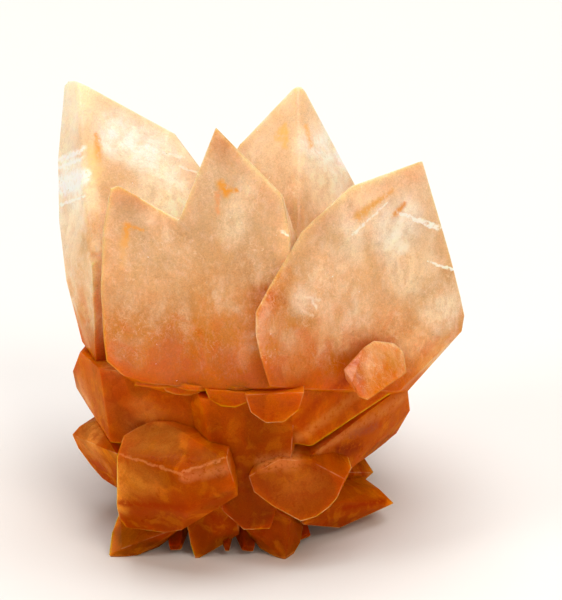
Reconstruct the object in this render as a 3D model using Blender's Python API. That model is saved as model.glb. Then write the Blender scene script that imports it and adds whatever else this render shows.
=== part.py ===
"""Calcite specimen: a hand-sized cluster of blocky calcite crystals that grew as one piece.

Five large blades stand up from a waist, and shorter crystals splay out and down below it.
Every crystal is the convex hull of its corners, so it has flat faces, and all of them are
joined into one solid. The cluster stands on the tips of its lowest crystals and on the flat
place where it broke off its rock. The origin is the middle of that place, +Z is up and the
front faces -Y. Corners are in millimetres.
"""

from __future__ import annotations

import logging
import math
from dataclasses import dataclass

import bmesh
import bpy
from mathutils import Matrix, Vector

LOG = logging.getLogger("calcite_specimen")

Point = tuple[float, float, float]

# Driving sizes, in millimetres
MM = 0.001
BASE_RADII = (13.0, 15.0, 12.0, 14.5, 12.5, 15.5, 13.0)
BASE_HEIGHT = 20.0
BASE_GROWTH = 1.5
BASE_SINK = 1.0
SCALLOP_STEPS = 5
SCALLOP_ROOT = 12.0
BELT_CORNERS = 6
CUTTER_SIZE = 200.0
FLAT_ANGLE = math.radians(1.5)

CALCITE_COLOUR = (0.80, 0.46, 0.20, 1.0)
CALCITE_ROUGHNESS = 0.25


@dataclass(frozen=True)
class Face:
    """The plane of one large crystal face, as a point on it and how its depth grows from there.

    Attributes:
        x, y, z: A point on the face.
        lean: Millimetres back for each millimetre up.
        turn: Millimetres back for each millimetre to the right.
    """

    x: float
    y: float
    z: float
    lean: float
    turn: float

    def corners(self, *places: tuple[float, float]) -> list[Point]:
        """Return the points of the face that are seen from the front at these (x, z) places."""
        return [
            (x, self.y + self.lean * (z - self.z) + self.turn * (x - self.x), z)
            for x, z in places
        ]


def back_left_blade() -> list[Point]:
    """Return the corners of the tall blade at the back left, with a blunt tip and a steep left side."""
    right = Face(-33.0, 13.0, 85.0, lean=0.95, turn=0.55)
    left = Face(-33.0, 13.0, 85.0, lean=0.55, turn=-2.5)
    return [
        *right.corners((-33.0, 85.0), (-14.0, 74.0), (-9.0, 68.0), (-6.0, 56.0), (-29.5, 58.0)),
        *left.corners((-36.5, 82.0), (-35.5, 83.5), (-38.0, 67.5), (-37.5, 57.0), (-35.5, 48.0)),
        (-32.5, -4.0, 36.0),
        (-29.0, -14.0, 36.0),
        (-12.0, -8.0, 30.0),
        (-30.0, 31.0, 61.0),
        (-17.0, 34.0, 59.0),
        (-24.0, 38.0, 50.0),
        (-31.0, 27.0, 40.0),
        (-13.0, 32.0, 40.0),
        (-5.0, 6.0, 14.0),
    ]


def front_left_blade() -> list[Point]:
    """Return the corners of the shorter blade at the front left, grown against the middle one."""
    front = Face(-24.0, -15.5, 73.0, lean=0.30, turn=-0.07)
    return [
        *front.corners((-25.0, 72.5), (-23.5, 73.0), (-19.5, 71.0), (-12.0, 67.0), (-11.0, 52.0)),
        *front.corners((-26.5, 65.0), (-27.0, 54.0), (-26.5, 45.0), (-26.0, 41.0), (-23.0, 38.5)),
        *front.corners((-17.0, 37.0), (-7.0, 36.5)),
        (-24.5, -3.0, 60.0),
        (-15.0, 2.0, 58.0),
        (-24.0, 0.0, 42.0),
        (-12.0, 4.0, 42.0),
        (-8.0, -4.0, 18.0),
    ]


def front_middle_blade() -> list[Point]:
    """Return the corners of the sharp blade at the front, with one broad flat face."""
    front = Face(-5.0, -14.0, 84.0, lean=0.30, turn=-0.16)
    return [
        *front.corners((-5.0, 84.0), (7.5, 72.5), (9.0, 65.0), (9.0, 62.0), (4.5, 43.0), (5.5, 37.5)),
        *front.corners((-7.0, 36.5), (-12.0, 67.0), (-13.5, 52.0), (-12.0, 37.0)),
        (10.0, -12.0, 62.0),
        (11.0, -12.0, 46.0),
        (-8.5, 2.0, 66.0),
        (5.5, 4.0, 61.0),
        (-9.0, 4.0, 44.0),
        (7.0, 4.0, 34.0),
        (0.0, -6.0, 20.0),
    ]


def back_middle_blade() -> list[Point]:
    """Return the corners of the pointed blade behind the middle, with a ridge down its front."""
    left = Face(11.0, 16.0, 84.0, lean=0.75, turn=-0.50)
    right = Face(11.0, 16.0, 84.0, lean=0.75, turn=1.40)
    return [
        *left.corners((11.0, 84.0), (-1.0, 72.0), (-4.5, 66.5), (11.0, 57.0)),
        *right.corners((19.5, 65.0), (24.5, 58.0)),
        (28.0, 8.0, 40.0),
        (1.0, 6.0, 48.0),
        (3.0, 30.0, 66.0),
        (15.0, 32.0, 63.0),
        (24.0, 31.0, 48.0),
        (-5.0, 30.0, 50.0),
        (2.0, 34.0, 36.0),
        (20.0, 30.0, 34.0),
        (5.0, 6.0, 14.0),
    ]


def right_blade() -> list[Point]:
    """Return the corners of the broad blade at the right, whose left corner overlaps the middle one."""
    broad = Face(34.5, -4.0, 74.0, lean=0.15, turn=0.73)
    strip = Face(34.5, -4.0, 74.0, lean=0.32, turn=0.59)
    return [
        *broad.corners((34.5, 74.0), (2.5, 49.0), (3.5, 44.0), (5.0, 38.5), (11.0, 36.0)),
        *broad.corners((19.5, 33.5), (30.5, 29.5), (38.5, 37.0), (36.5, 48.0)),
        *strip.corners((34.0, 74.0), (25.0, 72.5), (20.5, 72.0), (17.5, 70.0), (14.5, 68.0)),
        *strip.corners((11.0, 65.5), (9.0, 62.0), (5.0, 57.0), (2.5, 53.0)),
        (38.0, -3.5, 60.5),
        (40.5, -2.5, 54.0),
        (43.0, -1.0, 44.5),
        (44.0, 0.0, 40.0),
        (43.5, -1.0, 37.0),
        (32.5, -7.0, 26.5),
        (37.0, 15.0, 60.0),
        (26.0, 19.0, 60.0),
        (34.0, 25.0, 48.0),
        (39.0, 20.0, 41.0),
        (24.0, 24.0, 38.0),
        (7.0, 2.0, 14.0),
    ]


def right_nub() -> list[Point]:
    """Return the corners of the small crystal low on the right blade, which points down to the left."""
    top = Face(23.0, -23.0, 43.0, lean=1.4, turn=1.6)
    return [
        *top.corners((23.0, 43.0), (25.0, 43.0), (29.0, 41.0), (31.0, 39.0), (31.5, 36.0)),
        *top.corners((29.0, 36.0), (23.5, 36.0), (22.0, 37.0), (20.5, 39.5)),
        (19.0, -29.0, 41.0),
        (19.5, -28.0, 38.5),
        (21.5, -28.5, 36.0),
        (29.0, -12.0, 32.0),
        (24.0, -14.0, 34.0),
    ]


def left_skirt() -> list[Point]:
    """Return the corners of the broad sloping crystal below the waist at the left."""
    front = Face(-28.0, -18.5, 35.0, lean=0.15, turn=-0.25)
    return [
        *front.corners((-28.0, 36.5), (-20.0, 35.5), (-7.0, 36.0), (-26.0, 22.0), (-14.0, 22.0)),
        (-32.5, -9.0, 36.0),
        (-34.5, -5.0, 30.0),
        (-34.0, -4.0, 26.0),
        (-32.0, -3.0, 22.5),
        (-30.0, -4.0, 18.5),
        (-2.0, -25.0, 28.0),
        (-31.0, 10.0, 32.0),
        (-28.0, 10.0, 20.0),
        (-8.0, 2.0, 14.0),
    ]


def left_point() -> list[Point]:
    """Return the corners of the small crystal that points out to the left."""
    upper = Face(-35.0, -6.0, 16.5, lean=1.82, turn=-1.85)
    lower = Face(-35.0, -6.0, 16.5, lean=-0.65, turn=-1.24)
    return [
        *upper.corners((-35.0, 16.5), (-33.5, 18.2), (-30.0, 20.5), (-25.0, 19.0)),
        *lower.corners((-34.0, 13.0), (-31.5, 9.5), (-29.0, 7.2), (-26.0, 7.0)),
        (-18.0, -14.0, 8.0),
        (-27.0, 6.0, 18.0),
        (-25.0, 5.0, 9.0),
        (-10.0, -2.0, 14.0),
    ]


def front_wedge() -> list[Point]:
    """Return the corners of the blocky crystal that juts out at the front left."""
    top = Face(-24.0, -31.0, 24.0, lean=2.45, turn=-0.40)
    front = Face(-24.0, -31.0, 24.0, lean=-0.10, turn=-0.45)
    below = Face(-24.5, -29.6, 12.0, lean=-0.70, turn=-0.42)
    return [
        *top.corners((-23.0, 26.0), (-20.5, 27.0), (-18.0, 27.8), (-15.0, 28.0), (-3.0, 25.5)),
        *front.corners((-24.0, 24.0), (-12.0, 23.0), (-10.5, 21.5), (-24.5, 12.0), (-10.5, 15.0)),
        *below.corners((-24.2, 8.5), (-23.0, 5.8), (-15.5, 6.8), (-12.0, 8.8)),
        (-1.5, -36.5, 20.5),
        (-1.0, -34.0, 17.0),
        (-20.0, -10.0, 20.0),
        (-14.0, -10.0, 8.0),
        (-2.0, -20.0, 10.0),
        (-2.0, -12.0, 24.0),
    ]


def left_foot() -> list[Point]:
    """Return the corners of the crystal that points down at the front left and carries the cluster."""
    return [
        (-26.5, -27.0, 0.5),
        (-26.0, -27.0, -0.4),
        (-26.0, -24.0, 4.0),
        (-24.5, -22.0, 7.5),
        (-24.0, -27.5, 2.0),
        (-12.0, -27.5, 7.0),
        (-21.0, -27.0, 0.3),
        (-17.0, -24.0, 0.5),
        (-12.5, -17.5, 1.0),
        (-16.0, -10.0, 8.0),
        (-8.0, -12.0, 12.0),
        (-8.0, -24.0, 12.0),
    ]


def middle_foot() -> list[Point]:
    """Return the corners of the crystal that points down at the front, beside the left foot."""
    return [
        (-9.5, -27.5, -0.4),
        (-10.5, -28.0, 3.5),
        (-11.0, -28.5, 7.0),
        (-11.0, -29.0, 12.0),
        (-4.5, -20.0, 0.3),
        (-4.5, -27.0, 2.5),
        (-1.0, -26.0, 4.5),
        (-1.0, -17.0, 0.5),
        (-1.5, -29.5, 13.0),
        (-3.0, -27.0, 17.0),
        (-7.0, -10.0, 6.0),
        (0.0, -10.0, 14.0),
    ]


def right_foot() -> list[Point]:
    """Return the corners of the stubby crystal that points down at the front right."""
    return [
        (5.0, -26.5, 0.3),
        (8.0, -28.0, -0.4),
        (9.5, -26.0, -0.2),
        (11.0, -24.0, 1.5),
        (11.5, -22.0, 4.0),
        (3.0, -25.0, 0.8),
        (1.0, -26.0, 4.5),
        (-2.0, -28.0, 10.0),
        (1.0, -28.0, 15.0),
        (9.0, -28.5, 9.0),
        (5.0, -10.0, 2.5),
        (3.0, -10.0, 16.0),
    ]


def right_leaf() -> list[Point]:
    """Return the corners of the leaf-shaped crystal that faces the front at the lower right."""
    front = Face(20.0, -28.0, 17.0, lean=0.30, turn=0.25)
    return [
        *front.corners((19.5, 17.5), (16.0, 19.5), (13.0, 21.5), (7.0, 22.5), (18.0, 14.0)),
        *front.corners((16.5, 12.5), (14.0, 11.0), (11.0, 10.5), (9.5, 11.5), (5.5, 14.0), (2.0, 17.0)),
        *front.corners((1.0, 20.0)),
        (21.0, -24.0, 18.0),
        (20.0, -18.0, 18.5),
        (15.5, -22.0, 22.0),
        (6.0, -20.0, 25.0),
        (10.0, -14.0, 9.0),
        (2.0, 0.0, 14.0),
    ]


def right_point() -> list[Point]:
    """Return the corners of the sharp crystal that points out low at the right."""
    return [
        (30.0, -12.0, 4.0),
        (27.0, -11.0, 6.8),
        (23.8, -7.0, 7.0),
        (19.0, -18.0, 1.6),
        (11.5, -26.0, 6.5),
        (19.0, -20.0, 8.5),
        (11.0, -20.0, 12.0),
        (18.0, 6.0, 6.0),
        (12.0, -8.0, 1.5),
        (0.0, -4.0, 12.0),
    ]


def right_spur() -> list[Point]:
    """Return the corners of the small spur between the right shoulder and the right point."""
    return [
        (26.2, -2.0, 6.0),
        (24.0, 0.0, 9.0),
        (24.2, -4.0, 5.0),
        (17.0, -14.0, 12.0),
        (16.0, -12.0, 4.0),
        (18.0, 12.0, 10.0),
        (4.0, 0.0, 12.0),
    ]


def right_shoulder() -> list[Point]:
    """Return the corners of the ridged crystal that slopes in under the right blade."""
    return [
        (32.5, -7.5, 27.0),
        (33.4, -2.0, 20.0),
        (32.0, 0.0, 17.5),
        (31.0, 2.0, 13.0),
        (26.5, 4.0, 8.5),
        (24.2, 3.0, 6.5),
        (29.5, -11.0, 28.0),
        (13.0, -27.0, 22.0),
        (11.0, -27.0, 18.5),
        (20.0, -20.0, 15.0),
        (30.0, 22.0, 22.0),
        (24.0, 20.0, 12.0),
        (4.0, 0.0, 24.0),
        (8.0, -4.0, 10.0),
    ]


def shoulder_rib() -> list[Point]:
    """Return the corners of the narrow slab that stands proud of the right shoulder, below the nub."""
    return [
        (29.0, -13.0, 29.0),
        (20.0, -20.5, 27.0),
        (13.0, -27.0, 24.0),
        (9.5, -28.0, 31.0),
        (8.0, -27.0, 25.0),
        (10.0, -26.5, 35.5),
        (19.0, -20.0, 33.0),
        (28.0, -13.0, 30.5),
        (20.0, -4.0, 26.0),
        (2.0, -6.0, 24.0),
    ]


def heart() -> list[Point]:
    """Return the corners of the mass in the middle that the lower crystals grow out of."""
    front = Face(0.0, -29.0, 24.0, lean=0.12, turn=0.08)
    return [
        *front.corners((-8.0, 34.5), (10.0, 35.5), (-6.0, 24.0), (-4.0, 12.0), (0.0, 8.0)),
        *front.corners((5.0, 8.0), (9.0, 20.0)),
        (-11.0, -22.0, 30.0),
        (-9.0, -22.0, 14.0),
        (-20.0, 16.0, 34.0),
        (20.0, 18.0, 34.0),
        (16.0, 14.0, 12.0),
        (-14.0, 14.0, 12.0),
        (0.0, -20.0, 6.0),
    ]


def scallop(x: float, z: float, half_width: float, drop: float, depth: float, turn: float) -> list[Point]:
    """Return the corners of one rounded ledge that hangs below the waist.

    Args:
        x: Middle of the ledge.
        z: Top of the ledge.
        half_width: Half of its width.
        drop: How far it hangs down.
        depth: How far forward its lower rim stands, as a Y value.
        turn: Millimetres back for each millimetre to the right.

    Returns:
        The corners.
    """
    corners = [(x, depth + SCALLOP_ROOT, z)]
    for step in range(SCALLOP_STEPS + 1):
        angle = math.pi * step / SCALLOP_STEPS
        across = -half_width * math.cos(angle)
        front = depth + turn * across
        corners.append((x + across, front, z - drop * math.sin(angle)))
        corners.append((x + across, front + SCALLOP_ROOT, z - drop * math.sin(angle)))
    return corners


def dogtooth(
    tip: Point,
    foot: Point,
    radius: float,
    belt: float,
    zigzag: float,
    roll: float,
    flatness: float = 0.8,
) -> list[Point]:
    """Return the corners of a whole crystal: two ends and the zigzag belt of six corners between them.

    Args:
        tip: The free end.
        foot: The end inside the cluster.
        radius: Distance of the belt's outer corners from the axis.
        belt: How far along the axis the belt lies, as a share from tip to foot.
        zigzag: How far every other belt corner lies towards the foot, and the rest towards the tip.
        roll: Turn of the belt about the axis, in degrees.
        flatness: Distance of the belt's other corners, as a share of the radius.

    Returns:
        The corners.
    """
    start = Vector(tip)
    axis = Vector(foot) - start
    turned = axis.to_track_quat("Z", "Y").to_matrix() @ Matrix.Rotation(math.radians(roll), 3, "Z")
    corners = [tip, foot]
    for number in range(BELT_CORNERS):
        outer = number % 2 == 0
        angle = math.tau * number / BELT_CORNERS
        reach = radius if outer else radius * flatness
        height = axis.length * belt + (zigzag if outer else -zigzag)
        arm = Vector((reach * math.cos(angle), reach * math.sin(angle), height))
        corners.append(tuple(start + turned @ arm))
    return corners


def front_crystals() -> dict[str, list[Point]]:
    """Return the crystals that are seen from the front, by name."""
    return {
        "back_left_blade": back_left_blade(),
        "front_left_blade": front_left_blade(),
        "front_middle_blade": front_middle_blade(),
        "back_middle_blade": back_middle_blade(),
        "right_blade": right_blade(),
        "right_nub": right_nub(),
        "left_skirt": left_skirt(),
        "left_point": left_point(),
        "front_wedge": front_wedge(),
        "left_foot": left_foot(),
        "middle_foot": middle_foot(),
        "right_foot": right_foot(),
        "right_leaf": right_leaf(),
        "right_point": right_point(),
        "right_spur": right_spur(),
        "right_shoulder": right_shoulder(),
        "shoulder_rib": shoulder_rib(),
        "heart": heart(),
        "left_scallop": scallop(-11.5, 36.0, 4.0, 1.8, -26.0, -0.10),
        "middle_scallop": scallop(-2.8, 36.5, 4.4, 3.4, -29.0, -0.20),
        "right_scallop": scallop(6.0, 36.5, 5.6, 6.4, -30.0, 0.10),
    }


def rear_crystals() -> dict[str, list[Point]]:
    """Return the crystals of the sides and the back, by name."""
    return {
        "rear_left_blade": dogtooth((-27, 37, 62), (-2, 4, 16), 15, 0.47, 4, 10),
        "rear_middle_blade": dogtooth((4, 41, 64), (2, 2, 16), 16, 0.50, 4, 40),
        "rear_right_blade": dogtooth((32, 33, 56), (2, 4, 16), 15, 0.48, 4, 0),
        "rear_small_left": dogtooth((-13, 42, 42), (0, 6, 20), 9, 0.40, 3, 20),
        "rear_small_right": dogtooth((20, 41, 40), (2, 6, 20), 9, 0.40, 3, 50),
        "left_side_blade": dogtooth((-36, 23, 43), (0, 4, 20), 12, 0.45, 3, 15),
        "right_side_blade": dogtooth((41, 20, 40), (2, 2, 18), 12, 0.48, 3, 15),
        "left_side_point": dogtooth((-31, 11, 10), (0, 2, 20), 9, 0.45, 3, 25),
        "right_side_point": dogtooth((29, 12, 7), (0, 2, 18), 9, 0.45, 3, 5),
        "rear_left_point": dogtooth((-29, 28, 15), (0, 2, 22), 11, 0.45, 3, 0),
        "rear_point": dogtooth((-5, 38, 17), (0, 2, 24), 12, 0.45, 3, 30),
        "rear_right_point": dogtooth((24, 31, 11), (0, 2, 22), 11, 0.45, 3, 10),
        "rear_left_foot": dogtooth((-17, 22, -1.5), (0, 4, 26), 9, 0.42, 2, 0),
        "rear_right_foot": dogtooth((13, 25, -1.5), (0, 4, 26), 9, 0.42, 2, 20),
    }


def broken_base() -> list[Point]:
    """Return the corners of the lump that the cluster broke off its rock with, flat underneath."""
    corners = []
    for number, radius in enumerate(BASE_RADII):
        angle = math.tau * number / len(BASE_RADII)
        direction = (math.cos(angle), math.sin(angle))
        for reach, height in ((radius, -BASE_SINK), (radius * BASE_GROWTH, BASE_HEIGHT)):
            corners.append((reach * direction[0], reach * direction[1], height))
    return corners


def clear_scene() -> None:
    """Remove every object that the scene starts with."""
    for obj in list(bpy.data.objects):
        bpy.data.objects.remove(obj, do_unlink=True)


def new_collection(name: str) -> bpy.types.Collection:
    """Return a new collection, linked to the scene."""
    collection = bpy.data.collections.new(name)
    bpy.context.scene.collection.children.link(collection)
    return collection


def calcite_material() -> bpy.types.Material:
    """Return the honey-coloured calcite."""
    material = bpy.data.materials.new("honey_calcite")
    material.use_nodes = True
    shader = material.node_tree.nodes["Principled BSDF"]
    shader.inputs["Base Color"].default_value = CALCITE_COLOUR
    shader.inputs["Roughness"].default_value = CALCITE_ROUGHNESS
    shader.inputs["Metallic"].default_value = 0.0
    return material


def object_from(name: str, shape: bmesh.types.BMesh, collection: bpy.types.Collection) -> bpy.types.Object:
    """Turn a bmesh in millimetres into an object in metres."""
    bmesh.ops.scale(shape, vec=Vector((MM, MM, MM)), verts=shape.verts)
    bmesh.ops.recalc_face_normals(shape, faces=shape.faces)
    mesh = bpy.data.meshes.new(name)
    shape.to_mesh(mesh)
    shape.free()
    obj = bpy.data.objects.new(name, mesh)
    collection.objects.link(obj)
    return obj


def crystal(name: str, corners: list[Point], collection: bpy.types.Collection) -> bpy.types.Object:
    """Make one crystal as the convex hull of its corners, with flat faces.

    Args:
        name: Name of the object.
        corners: Its corners in millimetres.
        collection: Where the object goes.

    Returns:
        The crystal.
    """
    shape = bmesh.new()
    for corner in corners:
        shape.verts.new(corner)
    hull = bmesh.ops.convex_hull(shape, input=shape.verts)
    inner = [part for part in hull["geom_interior"] if isinstance(part, bmesh.types.BMVert)]
    bmesh.ops.delete(shape, geom=inner, context="VERTS")
    bmesh.ops.dissolve_limit(shape, angle_limit=FLAT_ANGLE, verts=shape.verts, edges=shape.edges)
    return object_from(name, shape, collection)


def below_floor(collection: bpy.types.Collection) -> bpy.types.Object:
    """Make the block that cuts every tip flat at the surface that the cluster stands on."""
    shape = bmesh.new()
    middle = Matrix.Translation((0.0, 0.0, -CUTTER_SIZE / 2))
    bmesh.ops.create_cube(shape, size=CUTTER_SIZE, matrix=middle)
    return object_from("below_floor", shape, collection)


def hide_helpers(*collections: bpy.types.Collection) -> None:
    """Leave the crystals and the cutter out of renders, because the joined cluster stands for them."""
    for collection in collections:
        for obj in collection.objects:
            obj.hide_render = True
            obj.display_type = "WIRE"


def main() -> None:
    """Build the specimen."""
    clear_scene()
    specimen = new_collection("calcite_specimen")
    crystals = new_collection("crystals")
    cutters = new_collection("cutters")
    for name, corners in {**front_crystals(), **rear_crystals()}.items():
        crystal(name, corners, crystals)
    cluster = crystal("calcite_cluster", broken_base(), specimen)
    cluster.data.materials.append(calcite_material())
    join = cluster.modifiers.new("join_crystals", "BOOLEAN")
    join.operation = "UNION"
    join.operand_type = "COLLECTION"
    join.collection = crystals
    join.solver = "EXACT"
    trim = cluster.modifiers.new("trim_tips", "BOOLEAN")
    trim.operation = "DIFFERENCE"
    trim.object = below_floor(cutters)
    trim.solver = "EXACT"
    hide_helpers(crystals, cutters)
    LOG.info("Joined %d crystals", len(crystals.objects))


if __name__ == "__main__":
    main()
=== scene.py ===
"""Calcite specimen: a hand-sized cluster of honey-orange calcite crystals on a white table.

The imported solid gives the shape. This script gives it what the real crystals have: edges worn
a little round, growth steps and swells on the faces, cloudy veils, orange phantom tips, healed
cracks and small cleavage flakes. Corners and places are in millimetres until they reach a mesh.
"""

from __future__ import annotations

import logging
import math
from dataclasses import dataclass
from enum import Enum

import bmesh
import bpy
import numpy as np
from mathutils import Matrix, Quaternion, Vector
from mathutils.bvhtree import BVHTree


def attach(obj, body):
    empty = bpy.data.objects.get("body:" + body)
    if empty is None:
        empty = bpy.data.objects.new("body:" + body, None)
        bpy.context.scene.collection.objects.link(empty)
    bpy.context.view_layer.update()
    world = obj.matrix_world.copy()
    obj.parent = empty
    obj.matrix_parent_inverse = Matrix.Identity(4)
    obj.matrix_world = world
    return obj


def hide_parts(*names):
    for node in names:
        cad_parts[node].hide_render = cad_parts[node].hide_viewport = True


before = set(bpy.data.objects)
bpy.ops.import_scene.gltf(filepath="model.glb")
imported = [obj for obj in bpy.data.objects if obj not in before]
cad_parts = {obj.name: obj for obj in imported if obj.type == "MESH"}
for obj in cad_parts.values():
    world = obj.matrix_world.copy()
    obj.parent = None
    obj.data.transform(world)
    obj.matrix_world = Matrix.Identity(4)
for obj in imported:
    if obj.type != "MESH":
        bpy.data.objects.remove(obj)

LOG = logging.getLogger("calcite_specimen")

MM = 0.001
# Corners that lie nearer than this are one corner
TOUCH = 0.001 * MM
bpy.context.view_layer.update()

Socket = bpy.types.NodeSocket
Triple = tuple[float, float, float]
Groups = dict[str, bpy.types.NodeTree]
Feeds = dict[str | int, object]

ORIGIN = (0.0, 0.0, 0.0)
# Height below which a face belongs to the flat broken place underneath
UNDERSIDE = 0.4


class Surface(Enum):
    """The two kinds of surface on the cluster."""

    GROWN = "honey_calcite"
    BROKEN = "broken_calcite"


def linear(colour: Triple) -> tuple[float, float, float, float]:
    """Turn a display colour of 0 to 255 into the linear colour that a shader takes.

    Args:
        colour: Red, green and blue as a screen shows them.

    Returns:
        The linear colour with an alpha of 1.
    """
    shown = [channel / 255 for channel in colour]
    return (*[c / 12.92 if c <= 0.04045 else ((c + 0.055) / 1.055) ** 2.4 for c in shown], 1.0)


class NodeSheet:
    """Places nodes in one tree and wires them together."""

    def __init__(self, tree: bpy.types.NodeTree) -> None:
        """Work on this tree."""
        self.tree = tree

    def place(self, kind: str, feeds: Feeds | None = None, **settings: object) -> bpy.types.Node:
        """Add a node of this kind with these settings, and feed its inputs by name or number."""
        node = self.tree.nodes.new(kind)
        for name, value in settings.items():
            setattr(node, name, value)
        for key, value in (feeds or {}).items():
            self.feed(node.inputs[key], value)
        return node

    def feed(self, socket: Socket, value: object) -> None:
        """Link a socket to another, or set its value."""
        if isinstance(value, Socket):
            self.tree.links.new(value, socket)
        elif value is not None:
            socket.default_value = value

    def math(
        self, operation: str, first: object, second: object = None, third: object = None, clamp: bool = False
    ) -> Socket:
        """Combine numbers."""
        feeds = {0: first, 1: second, 2: third}
        return self.place("ShaderNodeMath", feeds, operation=operation, use_clamp=clamp).outputs[0]

    def times(self, *factors: object) -> Socket:
        """Multiply numbers, from the first to the last."""
        product = factors[0]
        for factor in factors[1:]:
            product = self.math("MULTIPLY", product, factor)
        return product

    def vector(self, operation: str, first: object, second: object = None, third: object = None) -> Socket:
        """Combine vectors, and give a number where the operation measures one."""
        feeds = {0: first, "Scale" if operation == "SCALE" else 1: second, 2: third}
        node = self.place("ShaderNodeVectorMath", feeds, operation=operation)
        measures = operation in ("DISTANCE", "DOT_PRODUCT")
        return node.outputs["Value" if measures else "Vector"]

    def parts(self, vector: Socket) -> bpy.types.bpy_prop_collection:
        """Split a vector or a colour into X, Y and Z."""
        return self.place("ShaderNodeSeparateXYZ", {0: vector}).outputs

    def attribute(self, name: str) -> Socket:
        """Read a number that the mesh carries."""
        return self.place("ShaderNodeAttribute", attribute_name=name).outputs["Fac"]

    def fade(self, value: object, start: object, end: object) -> Socket:
        """Rise smoothly from 0 where value is start to 1 where it is end."""
        feeds = {"Value": value, "From Min": start, "From Max": end}
        return self.place("ShaderNodeMapRange", feeds, interpolation_type="SMOOTHSTEP").outputs["Result"]

    def noise(self, vector: object, scale: object, detail: float = 2.0, rough: float = 0.5) -> Socket:
        """Give cloudy noise from 0 to 1, around 0.5."""
        feeds = {"Vector": vector, "Scale": scale, "Detail": detail, "Roughness": rough}
        return self.place("ShaderNodeTexNoise", feeds).outputs[0]

    def drift(self, vector: Socket, scale: float) -> Socket:
        """Give a noise of vectors around zero, which bends or tears a pattern."""
        noise = self.place("ShaderNodeTexNoise", {"Vector": vector, "Scale": scale, "Detail": 3.0})
        return self.vector("SUBTRACT", noise.outputs["Color"], (0.5, 0.5, 0.5))

    def mix(self, share: object, first: object, second: object, blend: str = "MIX") -> Socket:
        """Mix two colours."""
        feeds = {0: share, 6: first, 7: second}
        return self.place("ShaderNodeMix", feeds, data_type="RGBA", blend_type=blend).outputs[2]

    def group(self, tree: bpy.types.NodeTree, **values: object) -> Socket:
        """Place a shared effect, feed its inputs by name and give what it puts out."""
        return self.place("ShaderNodeGroup", values, node_tree=tree).outputs[0]


@dataclass
class EffectGroup:
    """A shader node group that more than one finish uses.

    Attributes:
        name: Name of the group.
        inputs: Name of each input after Vector to its default, a number or a vector.
        output: Name of its one output, a number.
    """

    name: str
    inputs: dict[str, float | Triple]
    output: str = "Mask"

    def open(self) -> tuple[NodeSheet, bpy.types.bpy_prop_collection, Socket]:
        """Make the group with its sockets.

        Returns:
            The sheet to draw on, what the group is given and the socket for its result.
        """
        tree = bpy.data.node_groups.new(self.name, "ShaderNodeTree")
        for name, default in {"Vector": ORIGIN, **self.inputs}.items():
            kind = "NodeSocketVector" if isinstance(default, tuple) else "NodeSocketFloat"
            socket = tree.interface.new_socket(name=name, in_out="INPUT", socket_type=kind)
            socket.default_value = default
        tree.interface.new_socket(name=self.output, in_out="OUTPUT", socket_type="NodeSocketFloat")
        sheet = NodeSheet(tree)
        return sheet, sheet.place("NodeGroupInput").outputs, sheet.place("NodeGroupOutput").inputs[0]


def stroke_group() -> bpy.types.NodeTree:
    """Make the mask of one soft stroke between two points inside the crystal."""
    ahead = (1.0, 0.0, 0.0)
    inputs = {"Start": ORIGIN, "Way": ahead, "Pace": ahead, "Width": 1.0, "Growth": 0.0, "Core": 0.3}
    sheet, given, result = EffectGroup("stroke", inputs).open()
    along = sheet.vector("SUBTRACT", given["Vector"], given["Start"])
    share = sheet.math("ADD", sheet.vector("DOT_PRODUCT", along, given["Pace"]), 0.0, clamp=True)
    foot = sheet.vector("MULTIPLY_ADD", given["Way"], share, given["Start"])
    distance = sheet.vector("DISTANCE", given["Vector"], foot)
    width = sheet.math("ADD", sheet.times(given["Growth"], share), given["Width"])
    core = sheet.times(width, given["Core"])
    sheet.feed(result, sheet.fade(distance, width, core))
    return sheet.tree


def veil_group() -> bpy.types.NodeTree:
    """Make the mask of cloudy veils: noise stretched along the crystals and cut to soft wisps."""
    inputs = {"Stretch": (1.0, 1.0, 0.5), "Scale": 0.2, "Start": 0.5, "Full": 0.7}
    sheet, given, result = EffectGroup("veil", inputs).open()
    drawn = sheet.vector("MULTIPLY", given["Vector"], given["Stretch"])
    cloud = sheet.noise(drawn, given["Scale"], detail=5.0, rough=0.62)
    sheet.feed(result, sheet.fade(cloud, given["Start"], given["Full"]))
    return sheet.tree


def fan_group() -> bpy.types.NodeTree:
    """Make noise that is drawn out along the crystals, which all fan out from one middle."""
    inputs = {"Middle": (0.0, -4.0, 31.0), "Across": 9.0, "Along": 0.05}
    sheet, given, result = EffectGroup("fan", inputs, output="Noise").open()
    away = sheet.vector("SUBTRACT", given["Vector"], given["Middle"])
    way = sheet.vector("SCALE", sheet.vector("NORMALIZE", away), given["Across"])
    drawn = sheet.vector("ADD", way, sheet.vector("SCALE", away, given["Along"]))
    sheet.feed(result, sheet.noise(drawn, 1.0, detail=4.0, rough=0.55))
    return sheet.tree


def plane_group() -> bpy.types.NodeTree:
    """Make soft, angular patches, as cleavage planes inside the crystal give."""
    inputs = {"Turn": (0.5, 0.3, 0.7), "Stretch": (1.0, 0.6, 0.5), "Scale": 0.15, "Softness": 0.2}
    sheet, given, result = EffectGroup("inner_planes", inputs, output="Tone").open()
    feeds = {"Vector": given["Vector"], "Rotation": given["Turn"]}
    turned = sheet.place("ShaderNodeVectorRotate", feeds, rotation_type="EULER_XYZ")
    drawn = sheet.vector("MULTIPLY", turned.outputs[0], given["Stretch"])
    cells = sheet.place("ShaderNodeTexVoronoi", feature="SMOOTH_F1", distance="CHEBYCHEV")
    sheet.feed(cells.inputs["Vector"], drawn)
    sheet.feed(cells.inputs["Scale"], given["Scale"])
    sheet.feed(cells.inputs["Smoothness"], given["Softness"])
    sheet.feed(result, sheet.parts(cells.outputs["Color"])["X"])
    return sheet.tree


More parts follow.
